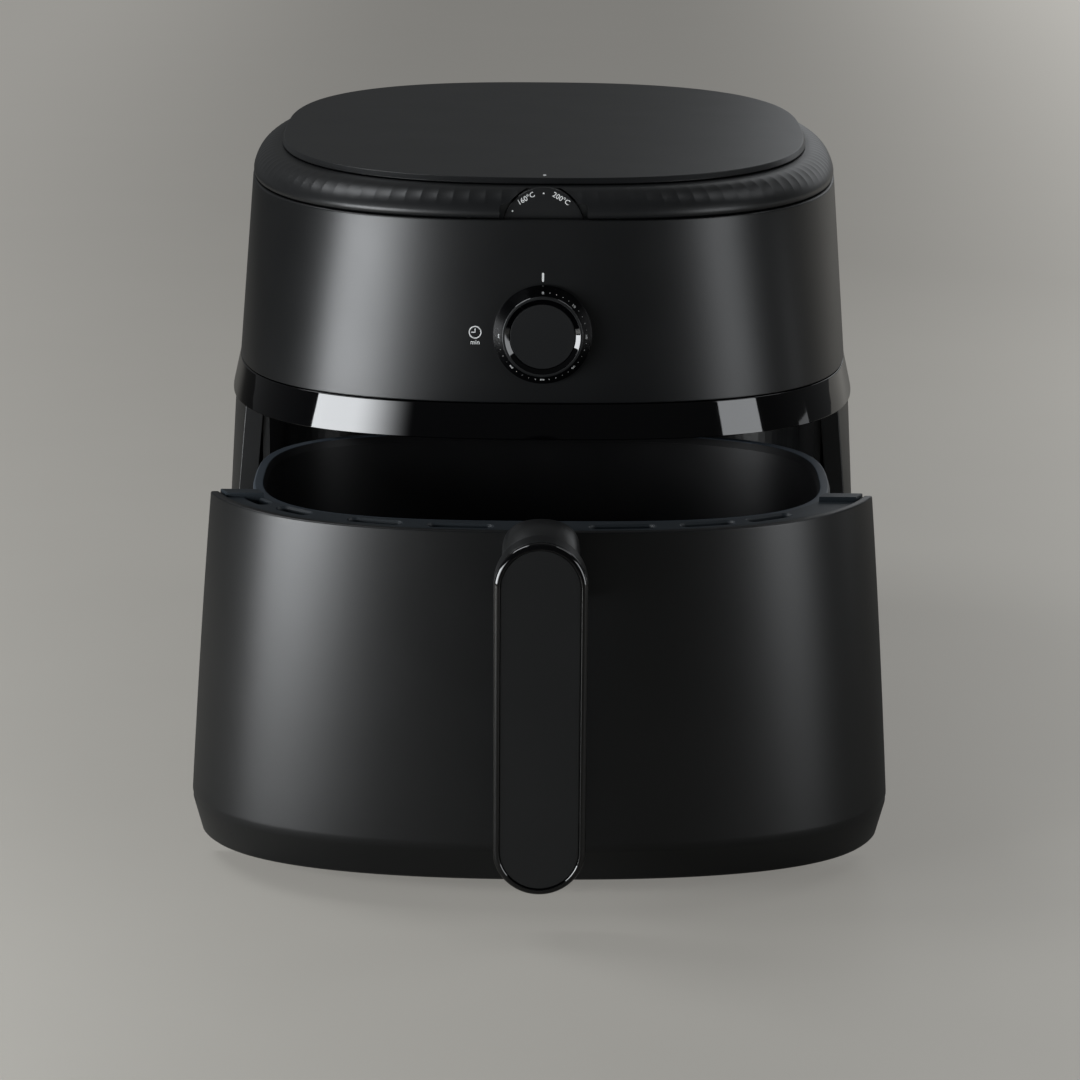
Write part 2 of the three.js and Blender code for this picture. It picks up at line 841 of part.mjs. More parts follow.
function fan(z0, height, radius, blades) {
  const top = z0 + height;
  const half = bladeThickness / 2;
  const disc = rod(radius, top - fanDisc, top, 0, fanY, largeSteps);
  const hub = rod(fanHubRadius, z0, top, 0, fanY, smallSteps);
  const solids = [disc, hub];
  for (let i = 0; i < blades; i++) {
    const blade = block(fanHubRadius - 1, radius, -half, half, z0, top - fanDisc / 2);
    solids.push(blade.rotate([0, 0, (360 * i) / blades]).translate([0, fanY, 0]));
  }
  const bore = rod(shaftRadius + seam, z0 - 1, z0 + height + 1, 0, fanY, smallSteps);
  return union(solids).subtract(bore);
}

const coolingFanZ = shieldTopZ + coolingFanRise;
const motorZ = bracketZ + bracketThickness + seam;
const motorTopZ = motorZ + motorHeight;
const shaftBottomZ = hotFanZ - nutHeight - shaftEnd;

function motorBracket() {
  const top = bracketZ + bracketThickness;
  const half = bracketArmHalf;
  const solids = [rod(motorRadius + bracketMargin, bracketZ, top, 0, fanY, largeSteps)];
  for (let i = 0; i < 4; i++) {
    const arm = block(motorRadius, bracketReach + postRadius, -half, half, bracketZ, top);
    const post = rod(postRadius, shieldZ, bracketZ + 0.5, bracketReach, 0, smallSteps);
    solids.push(arm.add(post).rotate([0, 0, 45 + 90 * i]).translate([0, fanY, 0]));
  }
  return union(solids).subtract(rod(shaftRadius + 2 * freeGap, 0, far, 0, fanY, smallSteps));
}

function motor() {
  const can = turned([
    [0, motorZ],
    [motorRadius, motorZ],
    [motorRadius, motorTopZ - 4],
    [motorRadius - 4, motorTopZ],
    [0, motorTopZ],
  ]).translate([0, fanY, 0]);
  return can.subtract(rod(shaftRadius + runningGap, 0, far, 0, fanY, smallSteps));
}

function hotAirFan() {
  return fan(hotFanZ, hotFanHeight, hotFanRadius, hotFanBlades);
}

function coolingFan() {
  return fan(coolingFanZ, coolingFanHeight, coolingFanRadius, coolingFanBlades);
}

function motorShaft() {
  return rod(shaftRadius, shaftBottomZ, motorTopZ + shaftTail, 0, fanY, smallSteps);
}

function fanNut() {
  const hex = rod(nutRadius, hotFanZ - nutHeight - seam, hotFanZ - seam, 0, fanY, 6);
  return hex.subtract(rod(shaftRadius + seam, 0, far, 0, fanY, smallSteps));
}

function thermalFuse() {
  const y = fanY + hotFanRadius;
  const z = shieldTopZ + seam + fuseRadius;
  const can = rodAlongY(fuseRadius, y - fuseLength / 2, y + fuseLength / 2, 0, z, smallSteps);
  const reach = fuseRadius + fuseClipReach;
  const low = shieldTopZ + seam;
  const clip = block(-reach, reach, y - fuseClipHalf, y + fuseClipHalf, low, low + fuseClipHeight);
  return can.add(clip);
}

function exhaustDuct() {
  const y0 = fanY + shieldRadius + shieldFlange + seam;
  const y1 = bodyBackAt(ductBottomZ) - bodyWall - ductEndGap;
  const z1 = ductBottomZ + ductHeight;
  const tube = block(-ductHalfWidth, ductHalfWidth, y0, y1, ductBottomZ, z1);
  const bore = block(
    -ductHalfWidth + ductWall,
    ductHalfWidth - ductWall,
    y0 - 1,
    y1 + 1,
    ductBottomZ + ductWall,
    z1 - ductWall,
  );
  const legs = [-1, 1].map((side) => {
    const x = side * (ductHalfWidth - ductLegInset);
    return block(x - ductLegHalf, x + ductLegHalf, y0, y1, shieldZ, ductBottomZ + ductWall / 2);
  });
  return tube.add(union(legs)).subtract(bore);
}

piece(assembly, "heat_shield", heatShield(), greySteel);
piece(assembly, "heating_element", heatingElement(), darkSteel);
[80, 200, 320].forEach((turn, i) => {
  piece(assembly, "element_clip_" + (i + 1), elementClip(turn), greySteel);
});
piece(assembly, "thermal_fuse", thermalFuse(), palePlastic);
piece(assembly, "motor_bracket", motorBracket(), greySteel);
piece(assembly, "motor", motor(), greySteel);
piece(assembly, "motor_shaft", motorShaft(), greySteel);
piece(assembly, "hot_air_fan", hotAirFan(), greySteel);
piece(assembly, "cooling_fan", coolingFan(), palePlastic);
piece(assembly, "fan_nut", fanNut(), greySteel);
piece(assembly, "exhaust_duct", exhaustDuct(), greySteel);

// Controls
const plateBackZ = -controlPlateSetback - controlPlateThickness;
const bodyFaceZ = plateBackZ - seam;

function controlPlate() {
  const half = controlBossSpread + controlPlateMargin;
  const top = wheelRise + wheelDrop + controlPlateTop;
  const sheet = block(-half, half, -half, top, plateBackZ, -controlPlateSetback);
  const hole = spindleRadius + freeGap;
  const holes = [0, wheelRise].map((y) => rod(hole, plateBackZ - 1, 0, 0, y, smallSteps));
  return sheet.subtract(union(holes));
}

function timerKnob() {
  const floor = knobHeight - knobWellDepth;
  const knob = turned(
    [
      [0, knobStandOff],
      [knobRadius, knobStandOff],
      [knobRadius, knobStandOff + knobSkirt],
      [knobRingRadius, knobHeight - knobBevel],
      [knobRingRadius - knobBevel, knobHeight],
      [knobWellRadius + knobBevel, knobHeight],
      [knobWellRadius, knobHeight - knobBevel],
      [knobWellRadius, floor],
      [0, floor],
    ],
    largeSteps,
  );
  return knob.subtract(rod(spindleRadius + seam, 0, knobStandOff + socketDepth, 0, 0, smallSteps));
}

function timerKnobCap() {
  const floor = knobHeight - knobWellDepth + seam;
  const top = knobHeight - knobCapDrop;
  return turned(
    [
      [0, floor],
      [knobCapRadius, floor],
      [knobCapRadius, top - knobBevel],
      [knobCapRadius - knobBevel, top],
      [0, top],
    ],
    largeSteps,
  );
}

function spindleBore(y) {
  return rod(spindleRadius + runningGap, bodyFaceZ - spindleDepth - 1, bodyFaceZ + 1, 0, y, smallSteps);
}

function timerSpindle() {
  return rod(spindleRadius, bodyFaceZ - spindleDepth, knobStandOff + socketDepth - seam, 0, 0, smallSteps);
}

function timerBody() {
  const half = timerSize / 2;
  return block(-half, half, -half, half, bodyFaceZ - timerDepth, bodyFaceZ).subtract(spindleBore(0));
}

function timerBell() {
  const wall = 1;
  const cup = turned(
    [
      [0, 0],
      [bellRadius - 2, 0],
      [bellRadius, 2],
      [bellRadius, bellDepth],
      [bellRadius - wall, bellDepth],
      [bellRadius - wall, 2.4],
      [bellRadius - 2.4, wall],
      [3, wall],
      [3, bellDepth],
      [0, bellDepth],
    ],
    roundSteps,
  );
  const x = -timerSize / 2 - seam - bellDepth;
  return cup.rotate([0, 90, 0]).translate([x, 0, bodyFaceZ - bellRadius - seam]);
}

function temperatureWheel() {
  const front = -wheelSetback;
  const back = front - wheelThickness;
  const wheel = turned(
    [
      [0, back - wheelHubHeight],
      [wheelHubRadius, back - wheelHubHeight],
      [wheelHubRadius, back],
      [wheelRadius - wheelEdge, back],
      [wheelRadius, back + wheelEdge],
      [wheelRadius, front - wheelEdge],
      [wheelRadius - wheelEdge, front],
      [0, front],
    ],
    largeSteps,
  );
  const socket = rod(spindleRadius + seam, back - wheelThickness, front - wheelFace, 0, 0, smallSteps);
  return wheel.subtract(socket).translate([0, wheelRise, 0]);
}

function thermostatSpindle() {
  const tip = -wheelSetback - wheelFace - seam;
  return rod(spindleRadius, bodyFaceZ - spindleDepth, tip, 0, wheelRise, smallSteps);
}

function thermostatBody() {
  const half = thermostatWidth / 2;
  const low = wheelRise - half;
  const can = block(-half, half, low, wheelRise + half - 2, bodyFaceZ - thermostatDepth, bodyFaceZ);
  return can.subtract(spindleBore(wheelRise));
}

assembly.add(controls);
piece(controls, "control_plate", controlPlate(), greySteel);
piece(controls, "timer_knob", timerKnob(), glossPlastic);
piece(controls, "timer_knob_cap", timerKnobCap(), satinPlastic);
piece(controls, "timer_spindle", timerSpindle(), brass);
piece(controls, "timer_body", timerBody(), palePlastic);
piece(controls, "timer_bell", timerBell(), greySteel);
piece(controls, "temperature_wheel", temperatureWheel(), mattePlastic);
piece(controls, "thermostat_spindle", thermostatSpindle(), brass);
piece(controls, "thermostat_body", thermostatBody(), palePlastic);

// Switch, terminals and cord inlet
const switchY = bayBackY + bayWall + seam;

function drawerSwitch() {
  const back = switchY + switchDepth;
  const z0 = plungerZ - switchBottom;
  const can = block(-switchHalfWidth, switchHalfWidth, switchY, back, z0, plungerZ + switchTop);
  const hole = plungerRadius + runningGap;
  return can.subtract(rodAlongY(hole, switchY - 1, back - switchBack, 0, plungerZ, smallSteps));
}

function switchPlunger() {
  const tip = panCentreY + panHalfDepth + seam;
  const tail = switchY + switchDepth - switchBack - 1 - plungerTravel;
  return rodAlongY(plungerRadius, tip, tail, 0, plungerZ, smallSteps);
}

function cordInlet() {
  const tail = -bodyWall - inletTail;
  const seat = backDraft * (inletFlange + 1) + seam;
  const bush = turned([
    [inletBore, tail],
    [inletRadius, tail],
    [inletRadius, seat],
    [inletFlange, seat],
    [inletFlange - 1, seat + inletFlangeHeight - seam],
    [inletBore + 1, seat + inletNose],
    [inletBore, seat + inletNose],
    [inletBore, tail],
  ]);
  return bush.rotate([-90, 0, 0]).translate([0, bodyBackAt(inletZ), inletZ]);
}

function terminalBlock() {
  const half = terminalWidth / 2;
  const top = sledZ + terminalHeight;
  const y1 = bodyBackAt(inletZ) - bodyWall - terminalGap;
  const base = block(-half, half, y1 - terminalDepth, y1, sledZ, top);
  const wells = [-1, 0, 1].map((i) => {
    const x = (i * terminalWidth) / 3;
    const z0 = top - terminalWellDepth;
    return rod(terminalWellRadius, z0, top + 1, x, y1 - terminalDepth / 2, smallSteps);
  });
  return base.subtract(union(wells));
}

piece(assembly, "drawer_switch", drawerSwitch(), palePlastic);
piece(assembly, "switch_plunger", switchPlunger(), brass);
piece(assembly, "cord_inlet", cordInlet(), rubber);
piece(assembly, "terminal_block", terminalBlock(), palePlastic);

// Drawer front: the body's outline ahead of the front edge plane, a little wider, with a bevel under it
const drawerEdge = block(-far, far, -far, frontEdgeY - drawerGap, -far, far);

function drawerRings(inset, floorZ) {
  const share = 1 - (floorZ - baseZ) / chamferHeight;
  const foot = drawerPlan(floorZ);
  foot.halfWidth -= chamferSideInset * share;
  foot.front -= chamferInset * share;
  return [
    ring(foot, floorZ, inset),
    ring(drawerPlan(chamferZ), chamferZ, inset),
    ring(drawerPlan(drawerTopZ), drawerTopZ, inset),
  ];
}

function handleScrewHole(x, extra, y0, y1) {
  return rodAlongY(screwRadius + extra, y0, y1, x, handleScrewZ, smallSteps);
}

function drawerFront() {
  const outer = loft(drawerRings(0, baseZ));
  const rings = drawerRings(drawerWall, baseZ + drawerFloor);
  const inner = loft([...rings, ring(drawerPlan(drawerTopZ), drawerTopZ + 5, drawerWall)]);
  const holes = [-1, 1].map((side) => handleScrewHole(side * handleScrewSpread, seam, -far, sledStudY));
  for (const [x, y] of sledStuds()) holes.push(rod(sledStudRadius + seam, 0, sledZ + 1, x, y, smallSteps));
  return outer.subtract(inner).intersect(drawerEdge).subtract(union(holes));
}

function panEnvelope(extra) {
  const bottom = panBottomZ - 1;
  const top = drawerTopZ + 10;
  return loft([ring(panPlan, bottom, -extra), ring(panPlan, top, -extra)]);
}

function slotCut(x, length) {
  const side = Math.sign(x);
  const plan = drawerPlan(insertTopZ);
  const here = frontPoint(plan, x, slotInset);
  const next = frontPoint(plan, x + side, slotInset);
  const lean = Math.atan2(next.y - here.y, 1);
  const shape = obround(slotWidth, -length / 2, length / 2);
  const slot = standing(shape, insertTopZ - slotDepth, insertTopZ + 5, 3);
  const degrees = (side * lean * 180) / Math.PI + 90;
  return slot.rotate([0, 0, degrees]).translate([here.x, here.y, 0]);
}

function rimInsert() {
  const z0 = insertTopZ - insertHeight;
  const fill = bodyFill(z0, insertTopZ, drawerWall + insertFit, drawerPlan);
  const raised = bodyFill(insertTopZ - 1, insertTopZ + insertStep, drawerWall + insertFit, drawerPlan);
  const ends = block(-far, far, frontEdgeY - drawerGap - insertStepLength, far, -far, far);
  const places = slotPlaces.flatMap(([x, length]) => [[x, length], [-x, length]]);
  const slots = [...places, cornerSlotPlace].map(([x, length]) => slotCut(x, length));
  const made = fill.add(raised.intersect(ends)).intersect(drawerEdge);
  return made.subtract(panEnvelope(seam)).subtract(union(slots));
}

function panRings() {
  const rimInner = panRimWidth - panWall - 1;
  const at = (z, extra) => ring(panPlan, z, rimInner + (panRimZ - z) * panDraft + extra);
  const top = panRimZ - seam;
  const low = panBottomZ + panFillet;
  return [
    at(panBottomZ, panFillet),
    at(panBottomZ + panFillet * 0.3, panFillet * 0.3),
    at(low, 0),
    at(top, 0),
    at(top, panWall),
    at(low, panWall),
    at(panBottomZ + panWall + panFillet * 0.25, panWall + panFillet * 0.3),
    at(panBottomZ + panWall, panWall + panFillet),
  ];
}

function panRim() {
  const z = panRimZ;
  const top = z + panRimHeight;
  return loft(
    [
      ring(panPlan, z, 0),
      ring(panPlan, z + panRimHeight * 0.5, 0),
      ring(panPlan, top, 0.8),
      ring(panPlan, top, 2.2),
      ring(panPlan, z, panRimWidth),
    ],
    true,
  );
}

// A tongue fixed to the drawer's floor. The pan stands on its two ribs, and the guides hold its back end.
function drawerSled() {
  const tongue = block(-sledHalfWidth, sledHalfWidth, sledFrontY, sledBackY, sledZ, sledTopZ);
  const ribHalf = sledHalfWidth - guideLip - 1;
  const ribs = [-1, 1].map((side) => {
    const y0 = panCentreY + side * sledRibSpread - sledRibWidth / 2;
    return block(-ribHalf, ribHalf, y0, y0 + sledRibWidth, sledTopZ - 1, panBottomZ - seam);
  });
  const studs = sledStuds().map(([x, y]) => rod(sledStudRadius, baseZ, sledZ + 1, x, y, smallSteps));
  return union([tongue, ...ribs, ...studs]);
}

function sledStuds() {
  return [-1, 1].map((side) => [side * sledStudSpread, sledStudY]);
}

piece(drawer, "drawer_front", drawerFront(), mattePlastic);
piece(drawer, "rim_insert", rimInsert(), slatePlastic);
piece(drawer, "pan", loft(panRings()), nonStick);
piece(drawer, "pan_rim", panRim(), slatePlastic);
piece(drawer, "drawer_sled", drawerSled(), slatePlastic);

// Handle: a neck on the panel carries an upright grip with a gloss ring and a satin face
function handleNeck() {
  const profile = new THREE.Shape();
  const back = bodyFrontAt(neckTopZ) + neckSink;
  const front = gripBackY + seam;
  profile.moveTo(front, neckBottomZ + neckSlope);
  profile.lineTo(back, neckBottomZ);
  profile.lineTo(back, neckTopZ - neckCrown);
  profile.lineTo(back - neckCrownLength, neckTopZ - neckCrown / 6);
  profile.lineTo((back + front) / 2, neckTopZ);
  profile.lineTo(front, neckTopZ - neckCrown);
  const bar = new THREE.ExtrudeGeometry(profile, { depth: neckWidth, bevelEnabled: false });
  const turn = new THREE.Matrix4().makeBasis(
    new THREE.Vector3(0, 1, 0),
    new THREE.Vector3(0, 0, 1),
    new THREE.Vector3(1, 0, 0),
  );
  const solid = solidOf(bar.applyMatrix4(turn).translate(-neckWidth / 2, 0, 0));
  const bodyFront = bodyFill(neckBottomZ - neckWidth, neckTopZ + neckWidth, -bandProud - drawerGap);
  const holes = [-1, 1].map((side) => handleScrewHole(side * handleScrewSpread, seam, front + 8, 0));
  return solid.subtract(bodyFront).subtract(union(holes));
}

function handleTrim() {
  const outer = obround(handleWidth, handleBottomZ, handleTopZ);
  const inner = obround(handleWidth - 2 * trimWidth, handleBottomZ + trimWidth, handleTopZ - trimWidth);
  const slab = plateFacingFront(outer, handleFrontY, handleFrontY + trimThickness);
  return slab.subtract(plateFacingFront(inner, handleFrontY - 1, handleFrontY + trimThickness + 1));
}

function handleFace() {
  const gap = trimWidth + seam;
  const shape = obround(handleWidth - 2 * gap, handleBottomZ + gap, handleTopZ - gap);
  return plateFacingFront(shape, handleFrontY + 0.8, handleFrontY + trimThickness);
}

function handleScrew(side) {
  const x = side * handleScrewSpread;
  const panelInner = bodyFrontAt(handleScrewZ) + drawerWall;
  const headBack = panelInner + 0.6;
  const shank = handleScrewHole(x, 0, gripBackY + 10, headBack + 1);
  const headFront = headBack + screwHeadHeight;
  return shank.add(rodAlongY(screwHeadRadius, headBack, headFront, x, handleScrewZ, smallSteps));
}

const gripShape = obround(handleWidth, handleBottomZ, handleTopZ);
piece(drawer, "handle_neck", handleNeck(), mattePlastic);
piece(drawer, "handle_grip", plateFacingFront(gripShape, gripFrontY, gripBackY), mattePlastic);
piece(drawer, "handle_trim", handleTrim(), glossPlastic);
piece(drawer, "handle_face", handleFace(), satinPlastic);
piece(drawer, "handle_screw_left", handleScrew(-1), greySteel);
piece(drawer, "handle_screw_right", handleScrew(1), greySteel);

// Crisper tray: a dished plate with holes on a turned-down edge, and four silicone pads that grip the pan
function trayPlanInset(z) {
  return panRimWidth - 1 + (panRimZ - z) * panDraft + trayGap;
}

function crisperTray() {
  const top = trayZ + trayHeight;
  const inset = trayPlanInset(trayZ);
  const shell = loft([
    ring(panPlan, trayZ, inset),
    ring(panPlan, top, inset),
    ring(panPlan, top, inset + trayRim),
    ring(panPlan, top - trayDish, inset + 2 * trayRim),
  ]);
  const hollow = loft([
    ring(panPlan, trayZ - 1, inset + trayThickness),
    ring(panPlan, top - trayThickness - trayDish, inset + trayThickness + 1),
    ring(panPlan, top - trayThickness - trayDish, inset + 2 * trayRim),
  ]);
  const holes = [];
  const reachX = panHalfWidth - inset - 14;
  const reachY = panHalfDepth - inset - 12;
  const columns = Math.floor(reachX / trayHolePitch);
  const rows = Math.floor(reachY / trayHolePitch);
  for (let i = -columns; i <= columns; i++) {
    for (let j = -rows; j <= rows; j++) {
      const x = i * trayHolePitch;
      const y = j * trayHolePitch;
      if ((x / reachX) ** 2 + (y / reachY) ** 2 > 1.15) continue;
      holes.push(rod(trayHoleRadius, trayZ, top + 1, x, panCentreY + y, 6));
    }
  }
  return shell.subtract(hollow).subtract(union(holes));
}

function trayPad(side, end) {
  const reach = end === 0 ? panHalfWidth : panHalfDepth;
  const face = reach - trayPlanInset(trayZ) + seam;
  const low = trayZ + padRise;
  const pad = block(face, face + padThickness, -padLength / 2, padLength / 2, low, low + padHeight);
  const turn = end * 90 + (side < 0 ? 180 : 0);
  return pad.rotate([0, 0, turn]).translate([0, panCentreY, 0]);
}

piece(drawer, "crisper_tray", crisperTray(), nonStick);
piece(drawer, "tray_pad_right", trayPad(1, 0), silicone);
piece(drawer, "tray_pad_left", trayPad(-1, 0), silicone);
piece(drawer, "tray_pad_back", trayPad(1, 1), silicone);
piece(drawer, "tray_pad_front", trayPad(-1, 1), silicone);

// The frame: its origin is under the middle of the whole part, on the table
const bounds = new THREE.Box3().setFromObject(assembly, true);
const middle = bounds.getCenter(new THREE.Vector3());
assembly.position.set(-middle.x, -middle.y, -bounds.min.z);

const fryer = new THREE.Group();
fryer.add(assembly);
export default fryer;
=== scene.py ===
import json
import math

import bmesh
import bpy
import numpy as np
from mathutils import Matrix, Vector


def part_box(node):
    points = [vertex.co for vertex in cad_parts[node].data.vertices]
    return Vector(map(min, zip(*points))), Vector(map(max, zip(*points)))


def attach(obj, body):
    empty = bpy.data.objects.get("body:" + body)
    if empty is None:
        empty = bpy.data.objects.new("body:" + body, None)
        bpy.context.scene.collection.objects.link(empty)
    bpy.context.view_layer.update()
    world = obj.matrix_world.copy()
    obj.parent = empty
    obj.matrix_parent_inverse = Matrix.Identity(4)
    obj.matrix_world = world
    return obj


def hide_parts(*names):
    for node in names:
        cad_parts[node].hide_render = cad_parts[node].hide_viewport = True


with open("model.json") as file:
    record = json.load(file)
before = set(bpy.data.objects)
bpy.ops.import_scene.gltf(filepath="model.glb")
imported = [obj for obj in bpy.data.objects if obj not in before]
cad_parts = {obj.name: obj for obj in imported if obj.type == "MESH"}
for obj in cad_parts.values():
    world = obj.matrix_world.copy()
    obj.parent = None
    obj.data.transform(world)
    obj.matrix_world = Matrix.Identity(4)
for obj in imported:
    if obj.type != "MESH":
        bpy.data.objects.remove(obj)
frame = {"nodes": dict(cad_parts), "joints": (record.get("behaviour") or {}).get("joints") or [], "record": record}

scene = bpy.context.scene
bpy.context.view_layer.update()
print("frame loaded:", len(frame["nodes"]), "nodes")


# Nodes and materials

def linear(hexColour):
    parts = [int(hexColour[i:i + 2], 16) / 255 for i in (1, 3, 5)]
    return [c / 12.92 if c <= 0.04045 else ((c + 0.055) / 1.055) ** 2.4 for c in parts] + [1.0]


def addNode(tree, kind, inputs=None, **settings):
    made = tree.nodes.new("ShaderNode" + kind)
    for name, value in settings.items():
        setattr(made, name, value)
    for name, value in (inputs or {}).items():
        if isinstance(value, bpy.types.NodeSocket):
            tree.links.new(value, made.inputs[name])
        else:
            made.inputs[name].default_value = value
    return made


def startMaterial(name, hexColour, values):
    made = bpy.data.materials.new(name)
    made.use_nodes = True
    shader = made.node_tree.nodes["Principled BSDF"]
    shader.inputs["Base Color"].default_value = linear(hexColour)
    for socket, value in values.items():
        shader.inputs[socket].default_value = value
    return made, made.node_tree, shader


def addShades(tree, shader, pattern, look):
    shades = addNode(tree, "Mix", {"Factor": pattern.outputs["Fac"]}, data_type="RGBA")
    shades.inputs["A"].default_value = linear(look["dark"])
    shades.inputs["B"].default_value = linear(look["light"])
    tree.links.new(shades.outputs["Result"], shader.inputs["Base Color"])


def addSheen(tree, shader, pattern, roughness):
    low, high = roughness
    sheen = addNode(tree, "MapRange", {"Value": pattern.outputs["Fac"], "To Min": low, "To Max": high})
    tree.links.new(sheen.outputs["Result"], shader.inputs["Roughness"])


def addRelief(tree, shader, pattern, strength):
    bump = addNode(tree, "Bump", {"Height": pattern.outputs["Fac"], "Strength": strength, "Distance": 0.0001})
    tree.links.new(bump.outputs["Normal"], shader.inputs["Normal"])


# Two close shades drift over some millimetres, the sheen drifts with them, and a fine grain lifts the surface
def moulded(name, hexColour, values, look):
    made, tree, shader = startMaterial(name, hexColour, values)
    place = addNode(tree, "TexCoord").outputs["Object"]
    drift = addNode(tree, "TexNoise", {"Vector": place, "Scale": 1 / look["drift"], "Detail": 2.0})
    grain = addNode(tree, "TexNoise", {"Vector": place, "Scale": 1 / look["grain"], "Detail": 1.0})
    addShades(tree, shader, drift, look)
    addSheen(tree, shader, drift, look["roughness"])
    addRelief(tree, shader, grain, look["relief"])
    return made


# Metal whose finish runs one way: fine lines stretched along an axis change its sheen
def drawn(name, hexColour, look):
    made, tree, shader = startMaterial(name, hexColour, {"Metallic": 1.0})
    place = addNode(tree, "TexCoord").outputs["Object"]
    stretched = addNode(tree, "Mapping", {"Vector": place, "Scale": look["stretch"]}).outputs["Vector"]
    lines = addNode(tree, "TexNoise", {"Vector": stretched, "Scale": 1 / look["lines"], "Detail": 3.0})
    addSheen(tree, shader, lines, look["roughness"])
    addRelief(tree, shader, lines, look["relief"])
    return made


# ABS from a spark-eroded tool: a soft even sheen with a fine grain, drawn about twice its real size to show
mattePlastic = moulded("absSparkErodedBlack", "#0e0f10", {"IOR": 1.53}, {
    "dark": "#0c0d0e", "light": "#101112", "drift": 0.03, "roughness": (0.34, 0.38),
    "grain": 0.0007, "relief": 0.16,
})

# The same ABS from a finer tool, on the top plate, shoulder, dials and handle's face: greyer, with a finer grain
satinPlastic = moulded("absFineSatinBlack", "#151617", {"IOR": 1.53}, {
    "dark": "#131415", "light": "#171819", "drift": 0.04, "roughness": (0.36, 0.41),
    "grain": 0.0006, "relief": 0.1,
})

# ABS from a polished tool: mirror gloss, with only the long faint waves that shrinkage leaves
glossPlastic = moulded("absPolishedBlack", "#030304", {"IOR": 1.6}, {
    "dark": "#020203", "light": "#040405", "drift": 0.05, "roughness": (0.03, 0.05),
    "grain": 0.02, "relief": 0.02,
})

# Glass-filled PBT: dull blue-grey, with the slight cloudiness that the fibres give
slatePlastic = moulded("pbtGlassFilledSlate", "#1e262c", {"IOR": 1.55}, {
    "dark": "#1b2328", "light": "#20282f", "drift": 0.015, "roughness": (0.42, 0.5),
    "grain": 0.0008, "relief": 0.2,
})

# Natural polyamide, for the pale mouldings inside: plain and slightly waxy
palePlastic = moulded("polyamideNatural", "#d8d4c8", {"IOR": 1.53, "Subsurface Weight": 0.05}, {
    "dark": "#d2cdc0", "light": "#dbd7cb", "drift": 0.012, "roughness": (0.5, 0.6),
    "grain": 0.0008, "relief": 0.1,
})

# Non-stick coating sprayed and baked on aluminium: black and silky, with a fine sprayed texture
nonStick = moulded("ptfeSprayedBlack", "#0d0d0e", {"IOR": 1.38}, {
    "dark": "#0b0b0c", "light": "#101011", "drift": 0.02, "roughness": (0.34, 0.42),
    "grain": 0.0009, "relief": 0.2,
})

# The thicker ceramic coat on the pan's rim: blue-grey and silky
rimCoating = moulded("ceramicCoatSlate", "#333b44", {"IOR": 1.5}, {
    "dark": "#303840", "light": "#373f48", "drift": 0.02, "roughness": (0.38, 0.46),
    "grain": 0.0009, "relief": 0.12,
})

# Moulded silicone, for the tray's pads: dull dark grey, with a dusty skin
silicone = moulded("siliconeMouldedGrey", "#2a2a2b", {"IOR": 1.41}, {
    "dark": "#272728", "light": "#2e2e30", "drift": 0.008, "roughness": (0.78, 0.88),
    "grain": 0.0006, "relief": 0.2,
})

# Moulded rubber, for the feet: blacker and duller still
rubber = moulded("rubberMouldedBlack", "#1b1b1b", {"IOR": 1.52}, {
    "dark": "#191919", "light": "#1f1f1f", "drift": 0.008, "roughness": (0.82, 0.92),
    "grain": 0.0007, "relief": 0.3,
})

# Pad-printed ink: a thin flat film, nearly white
padInk = moulded("inkPadPrintedWhite", "#e6e7e6", {"IOR": 1.5}, {
    "dark": "#e0e1e0", "light": "#ecedec", "drift": 0.004, "roughness": (0.4, 0.5),
    "grain": 0.0005, "relief": 0.05,
})

# Rolled galvanised sheet: grey, with faint lines along the rolling direction
sheetMetal = drawn("steelRolledZinc", "#a8abad", {
    "stretch": (0.1, 1.0, 1.0), "lines": 0.0008, "roughness": (0.3, 0.42), "relief": 0.1,
})

# Turned steel: brighter, with fine lines along the bar
turnedSteel = drawn("steelTurned", "#b9bbbd", {
    "stretch": (1.0, 1.0, 0.1), "lines": 0.0006, "roughness": (0.22, 0.34), "relief": 0.08,
})

# The heater's sheath: a nickel alloy, dull and brown where the heat has tinted it
heaterSheath = drawn("nickelAlloyHeatTinted", "#4a4542", {
    "stretch": (1.0, 1.0, 1.0), "lines": 0.003, "roughness": (0.42, 0.58), "relief": 0.15,
})

# Turned brass, for the dials' spindles: yellow, with fine lines and a soft shine
brass = drawn("brassTurned", "#c9a25a", {
    "stretch": (1.0, 0.1, 1.0), "lines": 0.0006, "roughness": (0.25, 0.38), "relief": 0.08,
})

slotFinish = {
    "matte_body": mattePlastic, "satin_trim": satinPlastic, "gloss_black": glossPlastic,
    "slate_plastic": slatePlastic, "non_stick": nonStick, "sheet_metal": sheetMetal, "steel": turnedSteel,
    "dark_steel": heaterSheath, "pale_plastic": palePlastic, "silicone": silicone,
    "rubber": rubber, "brass": brass,
}
nodeSlot = {}
for entry in frame["record"]["materials"]:
    for name in entry.get("nodes", []):
        nodeSlot[name] = entry["slot"]
print("materials:", len(bpy.data.materials), "slots of nodes:", len(nodeSlot))


# How each piece is made

tolerance = 0.0001  # how far a vertex may lie from its place when edges and faces are picked


# The corners of a line of 2-D points, eased by short curves, each with its own radius
def eased(points, radii, steps=3):
    made = []
    for i, (point, radius) in enumerate(zip(points, radii)):
        here = np.array(point, float)
        if not radius:
            made.append(here)
            continue
        before = np.array(points[i - 1], float) - here
        after = np.array(points[(i + 1) % len(points)], float) - here
        start = here + before / np.hypot(*before) * radius
        end = here + after / np.hypot(*after) * radius
        for t in np.linspace(0, 1, steps + 1):
            made.append((1 - t) ** 2 * start + 2 * t * (1 - t) * here + t ** 2 * end)
    return np.array(made)


